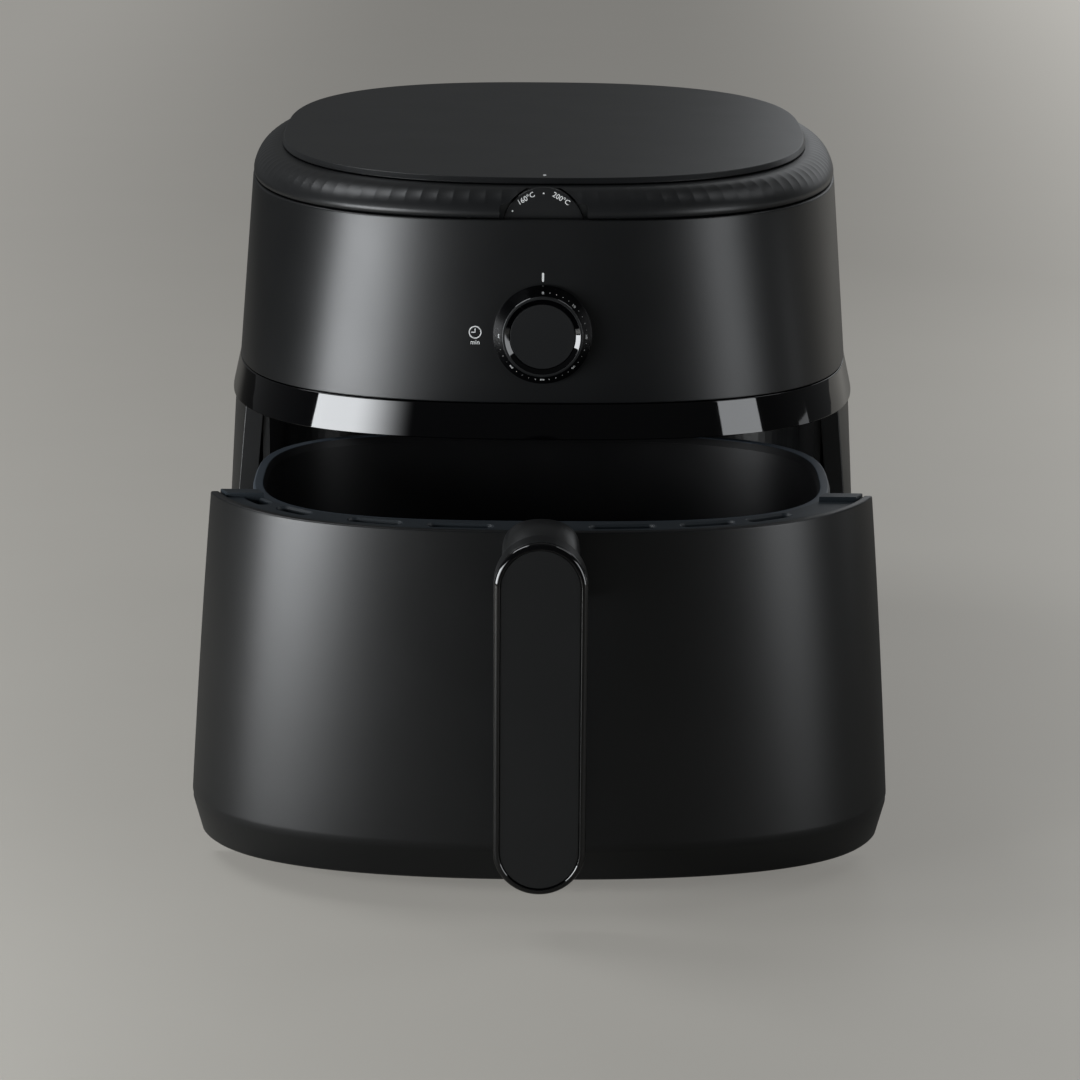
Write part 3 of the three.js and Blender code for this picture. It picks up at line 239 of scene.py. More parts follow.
def moveRing(piece, ring):
    mesh = bmesh.from_edit_mesh(piece.data)
    place = mesh.verts.layers.int["place"]
    for vert in mesh.verts:
        if vert.select:
            vert.co = ring[vert[place]]
    bmesh.update_edit_mesh(piece.data)


# A circle drawn out ring by ring, then joined to its first ring or else filled at both ends
def drawOut(name, rings, closed=False):
    bpy.ops.object.select_all(action="DESELECT")
    bpy.ops.mesh.primitive_circle_add(vertices=len(rings[0]), radius=0.01)
    piece = bpy.context.object
    piece.name = piece.data.name = name
    bpy.ops.object.mode_set(mode="EDIT")
    bpy.ops.mesh.select_all(action="SELECT")
    mesh = bmesh.from_edit_mesh(piece.data)
    mesh.verts.layers.int.new("place")
    place = mesh.verts.layers.int["place"]
    for index, vert in enumerate(mesh.verts):
        vert[place] = index
    moveRing(piece, rings[0])
    for ring in list(rings[1:]) + ([rings[0]] if closed else []):
        bpy.ops.mesh.extrude_region_move()
        moveRing(piece, ring)
    if not closed:
        bpy.ops.mesh.edge_face_add()
        bpy.ops.mesh.select_all(action="DESELECT")
        bpy.ops.mesh.select_mode(type="EDGE")
        mesh = bmesh.from_edit_mesh(piece.data)
        for edge in mesh.edges:
            edge.select_set(edge.is_boundary)
        bmesh.update_edit_mesh(piece.data)
        bpy.ops.mesh.edge_face_add()
        bpy.ops.mesh.select_mode(type="VERT")
    bpy.ops.mesh.select_all(action="SELECT")
    bpy.ops.mesh.remove_doubles(threshold=0.000001)
    bpy.ops.mesh.normals_make_consistent(inside=False)
    bpy.ops.object.mode_set(mode="OBJECT")
    return piece


def selectOnly(piece):
    bpy.ops.object.select_all(action="DESELECT")
    piece.select_set(True)
    bpy.context.view_layer.objects.active = piece


def combine(piece, tool, operation):
    selectOnly(piece)
    modifier = piece.modifiers.new("combine", "BOOLEAN")
    modifier.operation = operation
    modifier.object = tool
    bpy.ops.object.modifier_apply(modifier="combine")
    bpy.data.objects.remove(tool)


def join(pieces, name):
    bpy.ops.object.select_all(action="DESELECT")
    for piece in pieces:
        piece.select_set(True)
    bpy.context.view_layer.objects.active = pieces[0]
    bpy.ops.object.join()
    pieces[0].name = pieces[0].data.name = name
    return pieces[0]


def boxTool(low, high):
    centre = [(a + b) / 2 for a, b in zip(low, high)]
    size = [b - a for a, b in zip(low, high)]
    bpy.ops.object.select_all(action="DESELECT")
    bpy.ops.mesh.primitive_cube_add(size=1.0, location=centre, scale=size)
    bpy.ops.object.transform_apply(location=True, rotation=False, scale=True)
    return bpy.context.object


# Every piece's last step: its shading, its material, its body and the CAD nodes that it stands for
def settle(piece, body, finish, replaced=(), angle=32):
    selectOnly(piece)
    bpy.ops.object.shade_smooth_by_angle(angle=math.radians(angle))
    modifier = piece.modifiers.new("flatFaces", "WEIGHTED_NORMAL")  # wide faces shade flat up to their edges
    modifier.keep_sharp = True
    bpy.ops.object.modifier_apply(modifier="flatFaces")
    piece.data.materials.clear()
    piece.data.materials.append(finish)
    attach(piece, body)
    if replaced:
        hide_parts(*replaced)


# A curve's points, set out again at even steps along it
def evenly(curve, count, looped):
    steps = np.hypot(*np.diff(curve, axis=0).T)
    along = np.concatenate([[0], np.cumsum(steps)])
    places = np.linspace(0, along[-1], count + 1)[:-1] if looped else np.linspace(0, along[-1], count)
    return np.stack([np.interp(places, along, curve[:, k]) for k in (0, 1)], 1)


def raised(outline, z):
    return [Vector((x, y, z)) for x, y in outline]


# The body's plan: a superellipse that changes evenly towards the table

body = {
    "frontReach": 0.1517, "sideDraft": 0.0865, "shellSideDraft": 0.07, "wallSideDraft": 0.05,
    "frontDraft": 0.055, "backDraft": 0.06, "sideExponent": 2.9, "endExponent": 2.6, "backExponent": 2.0,
    "sideSlope": -2.5, "endSlope": 10.0, "wall": 0.003, "points": 240, "samples": 6001,
}
shellLow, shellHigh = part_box("upper_shell")
shellTop = shellHigh.z
shellDrop = shellTop - shellLow.z
halfAtTop = shellHigh.x - shellDrop * body["sideDraft"]
centreY = shellLow.y + body["frontReach"] + shellDrop * body["frontDraft"]
backReach = shellHigh.y - centreY - shellDrop * body["backDraft"]
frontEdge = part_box("outer_wall")[0].y
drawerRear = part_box("drawer_front")[1].y
bandDrop = shellLow.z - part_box("outer_wall")[1].z


def bodyPlan(z, inset=0.0):
    drop = shellTop - z
    below = max(0.0, drop - shellDrop)
    flare = (body["sideDraft"] - body["shellSideDraft"]) * shellDrop * min(1.0, below / bandDrop)
    narrowing = (drop - below) * body["shellSideDraft"] + flare + below * body["wallSideDraft"]
    return {
        "half": halfAtTop + narrowing - inset,
        "front": body["frontReach"] + drop * body["frontDraft"] - inset,
        "back": backReach + drop * body["backDraft"] - inset,
        "centreY": centreY,
        "side": body["sideExponent"] + drop * body["sideSlope"],
        "end": body["endExponent"] + drop * body["endSlope"],
        "backEnd": body["backExponent"] + drop * body["endSlope"],
    }


def planCurve(plan, turns):
    c, s = np.cos(turns), np.sin(turns)
    x = plan["half"] * np.sign(c) * np.abs(c) ** (2 / plan["side"])
    ahead = -plan["front"] * np.abs(s) ** (2 / plan["end"])
    behind = plan["back"] * np.abs(s) ** (2 / plan.get("backEnd", plan["end"]))
    y = plan["centreY"] + np.where(s < 0, ahead, behind)
    return np.stack([x, y], 1)


# How far forward a plan reaches, at a distance to one side
def frontAt(plan, across):
    share = abs(across) / plan["half"]
    return plan["centreY"] - plan["front"] * (1 - share ** plan["side"]) ** (1 / plan["end"])


def fullOutline(plan, count):
    return evenly(planCurve(plan, np.linspace(0, 2 * math.pi, body["samples"])), count, True)


# The turn at which a plan's front half passes y
def edgeTurn(plan, y):
    return math.asin(((plan["centreY"] - y) / plan["front"]) ** (plan["end"] / 2))


def levels(low, high, step):
    return list(np.linspace(low, high, max(2, round((high - low) / step) + 1)))


# A ring of body wall: its section, as inset and height, is eased and then carried round the plan
def bodyRing(name, section, radii):
    rings = [raised(fullOutline(bodyPlan(z, inset), body["points"]), z) for inset, z in eased(section, radii)]
    return drawOut(name, rings, closed=True)


# The upper shell, open at the back for the grille

shell = {"lowEdge": 0.0008, "highEdge": 0.0011, "innerEdge": 0.0003, "ringStep": 0.012}
low, high = shellLow.z, shellTop
heights = levels(low, high, shell["ringStep"])
section = [(0, z) for z in heights] + [(body["wall"], high), (body["wall"], low)]
inner = shell["innerEdge"]
radii = [shell["lowEdge"]] + [0] * (len(heights) - 2) + [shell["highEdge"], inner, inner]
upperShell = bodyRing("upperShell", section, radii)
grilleLow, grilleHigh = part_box("rear_grille")
grille = {"clearance": 0.0003, "cutAhead": 0.01, "cutBehind": 0.02}
clear = grille["clearance"]
openingLow = (grilleLow.x - clear, grilleLow.y - grille["cutAhead"], grilleLow.z - clear)
openingHigh = (grilleHigh.x + clear, grilleHigh.y + grille["cutBehind"], grilleHigh.z + clear)
combine(upperShell, boxTool(openingLow, openingHigh), "DIFFERENCE")
settle(upperShell, "housing", mattePlastic, ["upper_shell"])

# The gloss band: its foot stands proud

band = {"edge": 0.0005, "proud": 0.0014, "ringStep": 0.006}
bandLow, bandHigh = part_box("gloss_band")
heights = levels(bandLow.z, bandHigh.z, band["ringStep"])
lean = band["proud"] / (bandHigh.z - bandLow.z)
section = [(-lean * (bandHigh.z - z), z) for z in heights]
section += [(body["wall"], bandHigh.z), (body["wall"], bandLow.z)]
radii = [band["edge"]] + [0] * (len(heights) - 2) + [band["edge"], 0, 0]
glossBand = bodyRing("glossBand", section, radii)
settle(glossBand, "housing", glossPlastic, ["gloss_band"])
print("shell and band")


# The shoulder: a quarter-round over a small round, with shallow upright flutes in its upper half

shoulder = {
    "inset": 0.0124, "flange": 0.012, "lip": 0.006, "steps": 14, "footInset": 0.0018, "footHeight": 0.0034,
    "footSteps": 6, "flutes": 132, "perFlute": 6, "fluteDepth": 0.0003, "fluteFrom": 22, "fluteFull": 50,
}
shoulderLow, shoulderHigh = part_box("shoulder_ring")
rise = shoulderHigh.z - shoulderLow.z
wave = np.abs(np.linspace(-1, 1, shoulder["perFlute"], endpoint=False)) ** 2
wave = np.tile(wave, shoulder["flutes"])


def shoulderRing(inset, z, depth):
    plan = bodyPlan(shellTop, inset)
    outline = fullOutline(plan, shoulder["flutes"] * shoulder["perFlute"])
    outward = outline - np.array([0, plan["centreY"]])
    outward /= np.hypot(*outward.T)[:, None]
    return raised(outline - outward * (1 - wave)[:, None] * depth, z)


footTurn = math.degrees(math.asin(shoulder["footHeight"] / rise))
turns = list(np.linspace(0, footTurn, shoulder["footSteps"]))
turns += list(np.linspace(footTurn, 90, shoulder["steps"]))[1:]
rings = []
for turn in turns:
    climb = math.sin(math.radians(turn))
    foot = max(0.0, 1 - climb * rise / shoulder["footHeight"])
    inset = shoulder["inset"] * (1 - math.cos(math.radians(turn)))
    inset += shoulder["footInset"] * (1 - math.sqrt(1 - foot ** 2))
    share = (turn - shoulder["fluteFrom"]) / (shoulder["fluteFull"] - shoulder["fluteFrom"])
    depth = shoulder["fluteDepth"] * min(1.0, max(0.0, share)) if turn < 90 else 0
    rings.append(shoulderRing(inset, shoulderLow.z + rise * climb, depth))
inner = shoulder["inset"] + shoulder["flange"]
underside = shoulderHigh.z - body["wall"]
inside = [(inner, shoulderHigh.z), (inner, underside), (shoulder["lip"], underside)]
for inset, z in inside + [(body["wall"], shoulderLow.z)]:
    rings.append(shoulderRing(inset, z, 0))
shoulderPiece = drawOut("shoulderRing", rings, closed=True)

# The ridges between the flutes stay sharp
bpy.ops.object.mode_set(mode="EDIT")
bpy.ops.mesh.select_all(action="DESELECT")
bpy.ops.mesh.select_mode(type="EDGE")
mesh = bmesh.from_edit_mesh(shoulderPiece.data)
place = mesh.verts.layers.int["place"]
fluteFoot = shoulderLow.z + rise * math.sin(math.radians(shoulder["fluteFrom"])) - tolerance
for edge in mesh.edges:
    first, second = edge.verts
    onRidge = first[place] == second[place] and first[place] % shoulder["perFlute"] == 0
    edge.select_set(onRidge and min(first.co.z, second.co.z) > fluteFoot)
bpy.ops.mesh.mark_sharp()
bpy.ops.mesh.select_mode(type="VERT")
bpy.ops.object.mode_set(mode="OBJECT")


# A dial's own frame: across, up the front and out along its axis
def dialFrame(jointName):
    joint = next(j for j in frame["joints"] if j["name"] == jointName)
    out = Vector(joint["axis"]).normalized()
    side = Vector((1, 0, 0))
    up = out.cross(side)
    turn = Matrix((side, up, out)).transposed().to_4x4()
    return Matrix.Translation(Vector(joint["pos_m"])) @ turn


knobFrame = dialFrame("timer_turn")
wheelFrame = dialFrame("temperature_turn")

# The notch for the thumbwheel: a rounded window with a round well behind it

notch = {
    "halfWidth": 0.0198, "low": -0.016, "rise": 0.01168, "corner": 0.0024, "cornerSteps": 5,
    "radius": 0.0195, "points": 96, "back": -0.00225, "front": 0.04,
}


def notchTool(outline):
    depths = (notch["back"], notch["front"])
    return drawOut("notch", [[wheelFrame @ Vector((x, y, z)) for x, y in outline] for z in depths])


wide, low, high = notch["halfWidth"], notch["low"], notch["rise"]
corners = [(-wide, low), (wide, low), (wide, high), (-wide, high)]
outline = eased(corners, [0, 0, notch["corner"], notch["corner"]], notch["cornerSteps"])
combine(shoulderPiece, notchTool(outline), "DIFFERENCE")
turns = np.linspace(0, 2 * math.pi, notch["points"], endpoint=False)
combine(shoulderPiece, notchTool(notch["radius"] * np.stack([np.cos(turns), np.sin(turns)], 1)), "DIFFERENCE")
settle(shoulderPiece, "housing", satinPlastic, ["shoulder_ring"], angle=24)

# The top plate, whose side leans in

plate = {
    "sideExponent": 2.5, "endExponent": 2.7, "edge": 0.00035, "underEdge": 0.0005, "softEdge": 0.0002,
    "lean": 0.0011, "sink": 0.0001, "underFlat": 0.004, "topFlat": 0.005,
}
plateLow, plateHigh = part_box("top_plate")


# A superellipse that fills a box, drawn in by inset
def boxPlan(low, high, piece, inset):
    reach = (high.y - low.y) / 2 - inset
    return {
        "half": high.x - inset, "front": reach, "back": reach, "centreY": (low.y + high.y) / 2,
        "side": piece["sideExponent"], "end": piece["endExponent"],
    }


def plateOutline(inset, z):
    return raised(fullOutline(boxPlan(plateLow, plateHigh, plate, inset), body["points"]), z)


top = plateHigh.z - plate["sink"]
section = eased(
    [
        (plate["underFlat"], plateLow.z), (plate["underEdge"], plateLow.z),
        (0, plateLow.z + plate["underEdge"]), (plate["lean"], top), (plate["topFlat"], top),
    ],
    [0, plate["softEdge"], plate["softEdge"], plate["edge"], 0],
)
topPlate = drawOut("topPlate", [plateOutline(*at) for at in section])
settle(topPlate, "housing", satinPlastic, ["top_plate"])
print("shoulder and top plate")


# The lower wall: open at the front, with its two front edges turned in

wall = {
    "footEdge": 0.001, "topEdge": 0.0004, "endEdge": 0.0005, "turnIn": 0.0086, "turnDepth": 0.006,
    "deepest": 0.001, "flat": 0.003, "ringStep": 0.02, "points": 200,
}
wallLow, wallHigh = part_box("outer_wall")


def backArc(z, inset, y):
    plan = bodyPlan(z, inset)
    start = edgeTurn(plan, y)
    curve = planCurve(plan, np.linspace(-start, start + math.pi, body["samples"]))
    return evenly(curve, wall["points"], False)


def wallRing(z, inset):
    outer = backArc(z, inset, frontEdge)
    inner = backArc(z, body["wall"], frontEdge + wall["turnDepth"])[::-1]
    returnX = outer[0][0] - wall["turnIn"]
    left = [(-returnX, frontEdge), (-returnX, frontEdge + wall["turnDepth"])]
    right = [(returnX, frontEdge + wall["turnDepth"]), (returnX, frontEdge)]
    outline = list(outer) + left + list(inner) + right
    radii = [0] * len(outline)
    for corner in (0, len(outer) - 1, len(outer), -1):
        radii[corner] = wall["endEdge"]
    return raised(eased(outline, radii), z)


heights = levels(wallLow.z, wallHigh.z, wall["ringStep"])
section = eased(
    [(wall["flat"], wallLow.z)] + [(0, z) for z in heights] + [(wall["flat"], wallHigh.z)],
    [0, wall["footEdge"]] + [0] * (len(heights) - 2) + [wall["topEdge"], 0],
)
outerWall = drawOut("outerWall", [wallRing(z, min(inset, wall["deepest"])) for inset, z in section[1:-1]])
inlet = {"bore": 0.0073, "points": 48, "length": 0.06, "ahead": 0.01}
inletLow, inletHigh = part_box("cord_inlet")
bpy.ops.object.select_all(action="DESELECT")
bpy.ops.mesh.primitive_cylinder_add(
    vertices=inlet["points"], radius=inlet["bore"], depth=inlet["length"],
    location=(0, inletHigh.y - inlet["ahead"], (inletLow.z + inletHigh.z) / 2), rotation=(math.pi / 2, 0, 0),
)
bpy.ops.object.transform_apply(location=True, rotation=True, scale=True)
combine(outerWall, bpy.context.object, "DIFFERENCE")
settle(outerWall, "housing", mattePlastic, ["outer_wall"])
print("lower wall")


# The drawer's panel: a wall that follows the body's front, bevelled under, with a floor inside

panel = {
    "gap": 0.0007, "proudAtFoot": 0.0023, "proudAtTop": 0.0041, "wall": 0.003, "innerEdge": 0.0006,
    "floor": 0.003, "floorFit": 0.0002, "bevelHeight": 0.019, "bevelInset": 0.014, "bevelSideInset": 0.0045,
    "bevelEdge": 0.0028, "rimEdge": 0.001, "lowEdge": 0.0024, "edgeSteps": 4, "ringStep": 0.02,
    "endEdge": 0.0008, "endShares": (1, 0.67, 0.33), "points": 200, "samples": 4001,
}
panelLow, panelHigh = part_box("drawer_front")
crease = panelLow.z + panel["bevelHeight"]
drawerShift = drawerRear - (frontEdge - panel["gap"])


# The body's plan moved out with the drawer, a little wider towards the top and less drawn in under the sides
def drawerPlan(z, inset=0.0):
    plan = bodyPlan(z, inset)
    rise = max(0.0, z - crease) / (panelHigh.z - crease)
    plan["half"] += panel["proudAtFoot"] + (panel["proudAtTop"] - panel["proudAtFoot"]) * rise
    widening = panel["bevelInset"] - panel["bevelSideInset"]
    plan["half"] += max(0.0, crease - z) * widening / panel["bevelHeight"]
    plan["centreY"] += drawerShift
    return plan


def frontArc(z, inset, y):
    plan = drawerPlan(z, inset)
    start = edgeTurn(plan, y)
    curve = planCurve(plan, np.linspace(-start, start - math.pi, panel["samples"]))
    return evenly(curve, panel["points"], False)


# The wall's section as inset and height, drawn in by trim at its rounded ends
def panelSection(trim):
    foot = panel["bevelInset"]
    thick = panel["wall"]
    heights = levels(crease, panelHigh.z, panel["ringStep"])[1:-1]
    points = [(foot + thick - trim, panelLow.z + trim), (foot + trim, panelLow.z + trim), (trim, crease)]
    points += [(trim, z) for z in heights]
    points += [(trim, panelHigh.z - trim), (thick - trim, panelHigh.z - trim), (thick - trim, crease)]
    radii = [0, panel["lowEdge"], panel["bevelEdge"]] + [0] * len(heights)
    radii += [panel["rimEdge"] - trim, panel["innerEdge"], 0]
    return eased(points, radii, panel["edgeSteps"])


def panelEnd(side, share):
    trim = panel["endEdge"] * (1 - math.cos(share * math.pi / 2))
    y = drawerRear - panel["endEdge"] * (1 - math.sin(share * math.pi / 2))
    ring = []
    for inset, z in panelSection(trim):
        plan = drawerPlan(z, inset)
        reach = (plan["centreY"] - y) / plan["front"]
        x = plan["half"] * (1 - reach ** plan["end"]) ** (1 / plan["side"])
        ring.append(Vector((side * x, y, z)))
    return ring


arcs = [raised(frontArc(z, inset, drawerRear - panel["endEdge"]), z) for inset, z in panelSection(0)]
rings = [panelEnd(1, share) for share in panel["endShares"]]
rings += [list(ring) for ring in zip(*arcs)]
rings += [panelEnd(-1, share) for share in reversed(panel["endShares"])]
drawerPanel = drawOut("drawerPanel", rings)
fit = panel["floorFit"]
floorInset = panel["bevelInset"] + panel["wall"] - fit
floorLevels = (panelLow.z + fit, panelLow.z + panel["floor"])
floorRings = [raised(frontArc(z, floorInset, drawerRear - fit), z) for z in floorLevels]
drawerPanel = join([drawerPanel, drawOut("drawerFloor", floorRings)], "drawerPanel")
settle(drawerPanel, "drawer", mattePlastic, ["drawer_front"])
print("drawer panel")


# The pan, and the rim round it

pan = {
    "sideExponent": 3.0, "endExponent": 3.0, "rimInner": 0.003, "draft": 0.07, "wall": 0.0015,
    "fillet": 0.009, "filletSteps": 6, "ringStep": 0.03, "points": 200,
}
rimLow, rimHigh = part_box("pan_rim")
panLow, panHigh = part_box("pan")


def panOutline(inset, z):
    return raised(fullOutline(boxPlan(rimLow, rimHigh, pan, inset), pan["points"]), z)


def panWallInset(z):
    return pan["rimInner"] + (rimLow.z - z) * pan["draft"]


def panSection(inward, floorZ):
    made = []
    for i in range(pan["filletSteps"] + 1):
        turn = i / pan["filletSteps"] * math.pi / 2
        z = floorZ + pan["fillet"] * (1 - math.cos(turn))
        made.append((panWallInset(z) + inward + pan["fillet"] * (1 - math.sin(turn)), z))
    for z in levels(floorZ + pan["fillet"], panHigh.z, pan["ringStep"])[1:]:
        made.append((panWallInset(z) + inward, z))
    return made


panRings = [panOutline(*at) for at in panSection(0, panLow.z)]
panRings += [panOutline(*at) for at in reversed(panSection(pan["wall"], panLow.z + pan["wall"]))]
panPiece = drawOut("pan", panRings)
settle(panPiece, "drawer", nonStick, ["pan"], angle=40)

rim = {
    "width": 0.0055, "drop": 0.0012, "side": 0.0018, "lean": 0.0008,
    "edges": (0.0002, 0.0004, 0.0003, 0.0004, 0), "uprightBelow": 0.8,
}
section = eased(
    [
        (0, rimLow.z), (0, rimLow.z + rim["side"]), (rim["lean"], rimHigh.z),
        (rim["width"] - rim["drop"], rimHigh.z), (rim["width"], rimLow.z),
    ],
    rim["edges"],
)
panRim = drawOut("panRim", [panOutline(*at) for at in section], closed=True)
settle(panRim, "drawer", rimCoating, ["pan_rim"])
# The rim's inner side is coated like the pan
panRim.data.materials.append(nonStick)
panCentre = Vector((0, (rimLow.y + rimHigh.y) / 2, 0))
for face in panRim.data.polygons:
    if abs(face.normal.z) < rim["uprightBelow"] and face.normal.dot(panCentre - face.center) > 0:
        face.material_index = 1
print("pan")


# The rim insert, between the panel and the pan: long slots with eased mouths, and raised ends

insert = {
    "fit": 0.0005, "edge": 0.0005, "lowEdge": 0.0003, "underFlat": 0.001, "topFlat": 0.0012, "step": 0.002,
    "endLength": 0.007, "endDepth": 0.004, "stepBack": 0.0002, "clearance": 0.0003, "cutBelow": 0.001,
    "cutAbove": 0.02, "slotWidth": 0.006, "slotDepth": 0.016, "slotInset": 0.0122, "slotPoints": 24,
    "mouthDepth": 0.0009, "mouthAbove": 0.001, "mouthGrow": 0.0016,
    "slots": (
        (-0.1215, 0.015), (-0.105, 0.017), (-0.070, 0.023), (-0.034, 0.027),
        (0.034, 0.027), (0.070, 0.023), (0.0965, 0.021),
    ),
}
insertLow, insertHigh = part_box("rim_insert")
insertTop = insertHigh.z - insert["step"]


def insertRing(inset, z):
    return raised(frontArc(z, inset + panel["wall"] + insert["fit"], drawerRear - inset), z)


def insertBlock(name, top, inset=0):
    section = eased(
        [(insert["underFlat"], insertLow.z), (0, insertLow.z), (0, top), (insert["topFlat"], top)],
        [0, insert["lowEdge"], insert["edge"], 0],
    )
    return drawOut(name, [insertRing(inset + inward, z) for inward, z in section[1:]])


# A slot's cutter: its place across the drawer and its length. It turns with the panel's curve.
def slotTool(x, length):
    plan = drawerPlan(insertTop, insert["slotInset"])
    step = 0.001
    lean = math.atan2(frontAt(plan, abs(x) + step) - frontAt(plan, abs(x)), step) * (1 if x > 0 else -1)
    cosLean, sinLean = math.cos(lean), math.sin(lean)
    half = length / 2 - insert["slotWidth"] / 2
    rings = []
    mouth = [(-insert["mouthDepth"], 0), (insert["mouthAbove"], insert["mouthGrow"])]
    for lift, grow in [(-insert["slotDepth"], 0)] + mouth:
        radius = insert["slotWidth"] / 2 + grow
        ring = []
        for i in range(insert["slotPoints"]):
            turn = (i + 0.5) / insert["slotPoints"] * 2 * math.pi
            across = radius * math.cos(turn) + (half if math.cos(turn) > 0 else -half)
            along = radius * math.sin(turn)
            ringX = x + across * cosLean - along * sinLean
            ringY = frontAt(plan, x) + across * sinLean + along * cosLean
            ring.append(Vector((ringX, ringY, insertTop + lift)))
        rings.append(ring)
    return drawOut("slot", rings)


def panClearance(clearance):
    heights = (panLow.z - insert["cutBelow"], rimHigh.z + insert["cutAbove"])
    return drawOut("clearance", [panOutline(-clearance, z) for z in heights])


rimInsert = insertBlock("rimInsert", insertTop)
combine(rimInsert, panClearance(insert["clearance"]), "DIFFERENCE")
for x, length in insert["slots"]:
    combine(rimInsert, slotTool(x, length), "DIFFERENCE")
raisedEnds = insertBlock("raisedEnds", insertHigh.z, insert["stepBack"])
endsLow = (-1, drawerRear - insert["endLength"], insertTop - insert["endDepth"])
combine(raisedEnds, boxTool(endsLow, (1, drawerRear + 1, 1)), "INTERSECT")
combine(raisedEnds, panClearance(insert["clearance"] + insert["stepBack"]), "DIFFERENCE")
combine(rimInsert, raisedEnds, "UNION")
settle(rimInsert, "drawer", slatePlastic, ["rim_insert"])
print("rim insert")


# The handle: an upright grip with a gloss bevel round a satin face, on a neck from the panel

handle = {
    "points": 96, "rearEdge": 0.0022, "frontEdge": 0.0003, "edgeSteps": 5, "flat": 0.003,
    "trimWidth": 0.0026, "bevelDepth": 0.0022, "bevelSteps": 8, "trimLip": 0.0003, "trimStep": 0.0002,
    "faceGap": 0.0003, "faceDrop": 0.0006, "faceEdge": 0.0004, "faceUnderFlat": 0.001, "faceFlat": 0.002,
}
gripLow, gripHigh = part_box("handle_grip")
trimLow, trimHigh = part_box("handle_trim")
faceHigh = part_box("handle_face")[1]


# The grip's outline: two half circles, the upper one first
def obround(inset, y):
    radius = gripHigh.x - inset
    half = handle["points"] // 2
    ring = []
    for centreZ, start in ((gripHigh.z - gripHigh.x, 0), (gripLow.z + gripHigh.x, math.pi)):
        for i in range(half + 1):
            turn = start + i / half * math.pi
            ring.append(Vector((radius * math.cos(turn), y, centreZ + radius * math.sin(turn))))
    return ring


section = eased(
    [(handle["flat"], gripHigh.y), (0, gripHigh.y), (0, gripLow.y), (handle["flat"], gripLow.y)],
    [0, handle["rearEdge"], handle["frontEdge"], 0],
    handle["edgeSteps"],
)
handleGrip = drawOut("handleGrip", [obround(*at) for at in section])
settle(handleGrip, "drawer", mattePlastic, ["handle_grip"])

trimSection = [(0, trimHigh.y), (0, trimLow.y + handle["bevelDepth"])]
for i in range(1, handle["bevelSteps"] + 1):
    turn = i / handle["bevelSteps"] * math.pi / 2
    inset = (handle["trimWidth"] - handle["trimLip"]) * (1 - math.cos(turn))
    trimSection.append((inset, trimLow.y + handle["bevelDepth"] * (1 - math.sin(turn))))
trimSection += [(handle["trimWidth"], trimLow.y + handle["trimStep"]), (handle["trimWidth"], trimHigh.y)]
handleTrim = drawOut("handleTrim", [obround(*at) for at in trimSection], closed=True)
settle(handleTrim, "drawer", glossPlastic, ["handle_trim"])

gap = handle["trimWidth"] + handle["faceGap"]
faceFront = trimLow.y + handle["faceDrop"]
section = eased(
    [
        (gap + handle["faceUnderFlat"], faceHigh.y), (gap, faceHigh.y), (gap, faceFront),
        (gap + handle["faceFlat"], faceFront),
    ],
    [0, 0, handle["faceEdge"], 0],
)
handleFace = drawOut("handleFace", [obround(*at) for at in section])
settle(handleFace, "drawer", satinPlastic, ["handle_face"])

neck = {
    "halfAtGrip": 0.0162, "halfAtPanel": 0.016, "crown": 0.0136, "crownPower": 0.8, "sidePower": 0.9,
    "endDip": 0.003, "underRise": 0.008, "steps": 24, "rings": 9, "shortBy": 0.0022, "overPanel": 0.0003,
}
neckLow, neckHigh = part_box("handle_neck")


def neckRing(y, half, top, low):
    ring = []
    for i in range(neck["steps"] + 1):
        turn = i / neck["steps"] * math.pi
        across = math.cos(turn)
        x = half * math.copysign(abs(across) ** neck["sidePower"], across)
        ring.append(Vector((x, y, top - neck["crown"] * (1 - math.sin(turn) ** neck["crownPower"]))))
    for across in (-1, 1):
        ring.append(Vector((half * across, y, low)))
    return ring


neckRings = []
for share in np.linspace(0, 1, neck["rings"]):
    y = neckLow.y + (neckHigh.y - neckLow.y) * share
    half = neck["halfAtGrip"] + (neck["halfAtPanel"] - neck["halfAtGrip"]) * share
    top = neckHigh.z - neck["endDip"] * (2 * share - 1) ** 2
    neckRings.append(neckRing(y, half, top, neckLow.z + neck["underRise"] * (1 - share)))
handleNeck = drawOut("handleNeck", neckRings)
# Above the panel it stops short, so that it clears the band when the drawer is shut
clearLow = (-1, neckHigh.y - neck["shortBy"], panelHigh.z + neck["overPanel"])
combine(handleNeck, boxTool(clearLow, (1, 1, 1)), "DIFFERENCE")
settle(handleNeck, "drawer", mattePlastic, ["handle_neck"], angle=45)
print("handle")


# The timer knob: a gloss skirt, a satin ring round a gloss well, and a satin cap in the well

def turnedRing(radius, height, matrix, count=128):
    turns = [i / count * 2 * math.pi for i in range(count)]
    return [matrix @ Vector((radius * math.cos(turn), radius * math.sin(turn), height)) for turn in turns]


# A profile of radius and height, turned round a dial's axis
def turned(name, profile, radii, dial):
    return drawOut(name, [turnedRing(radius, height, dial) for radius, height in eased(profile, radii)])


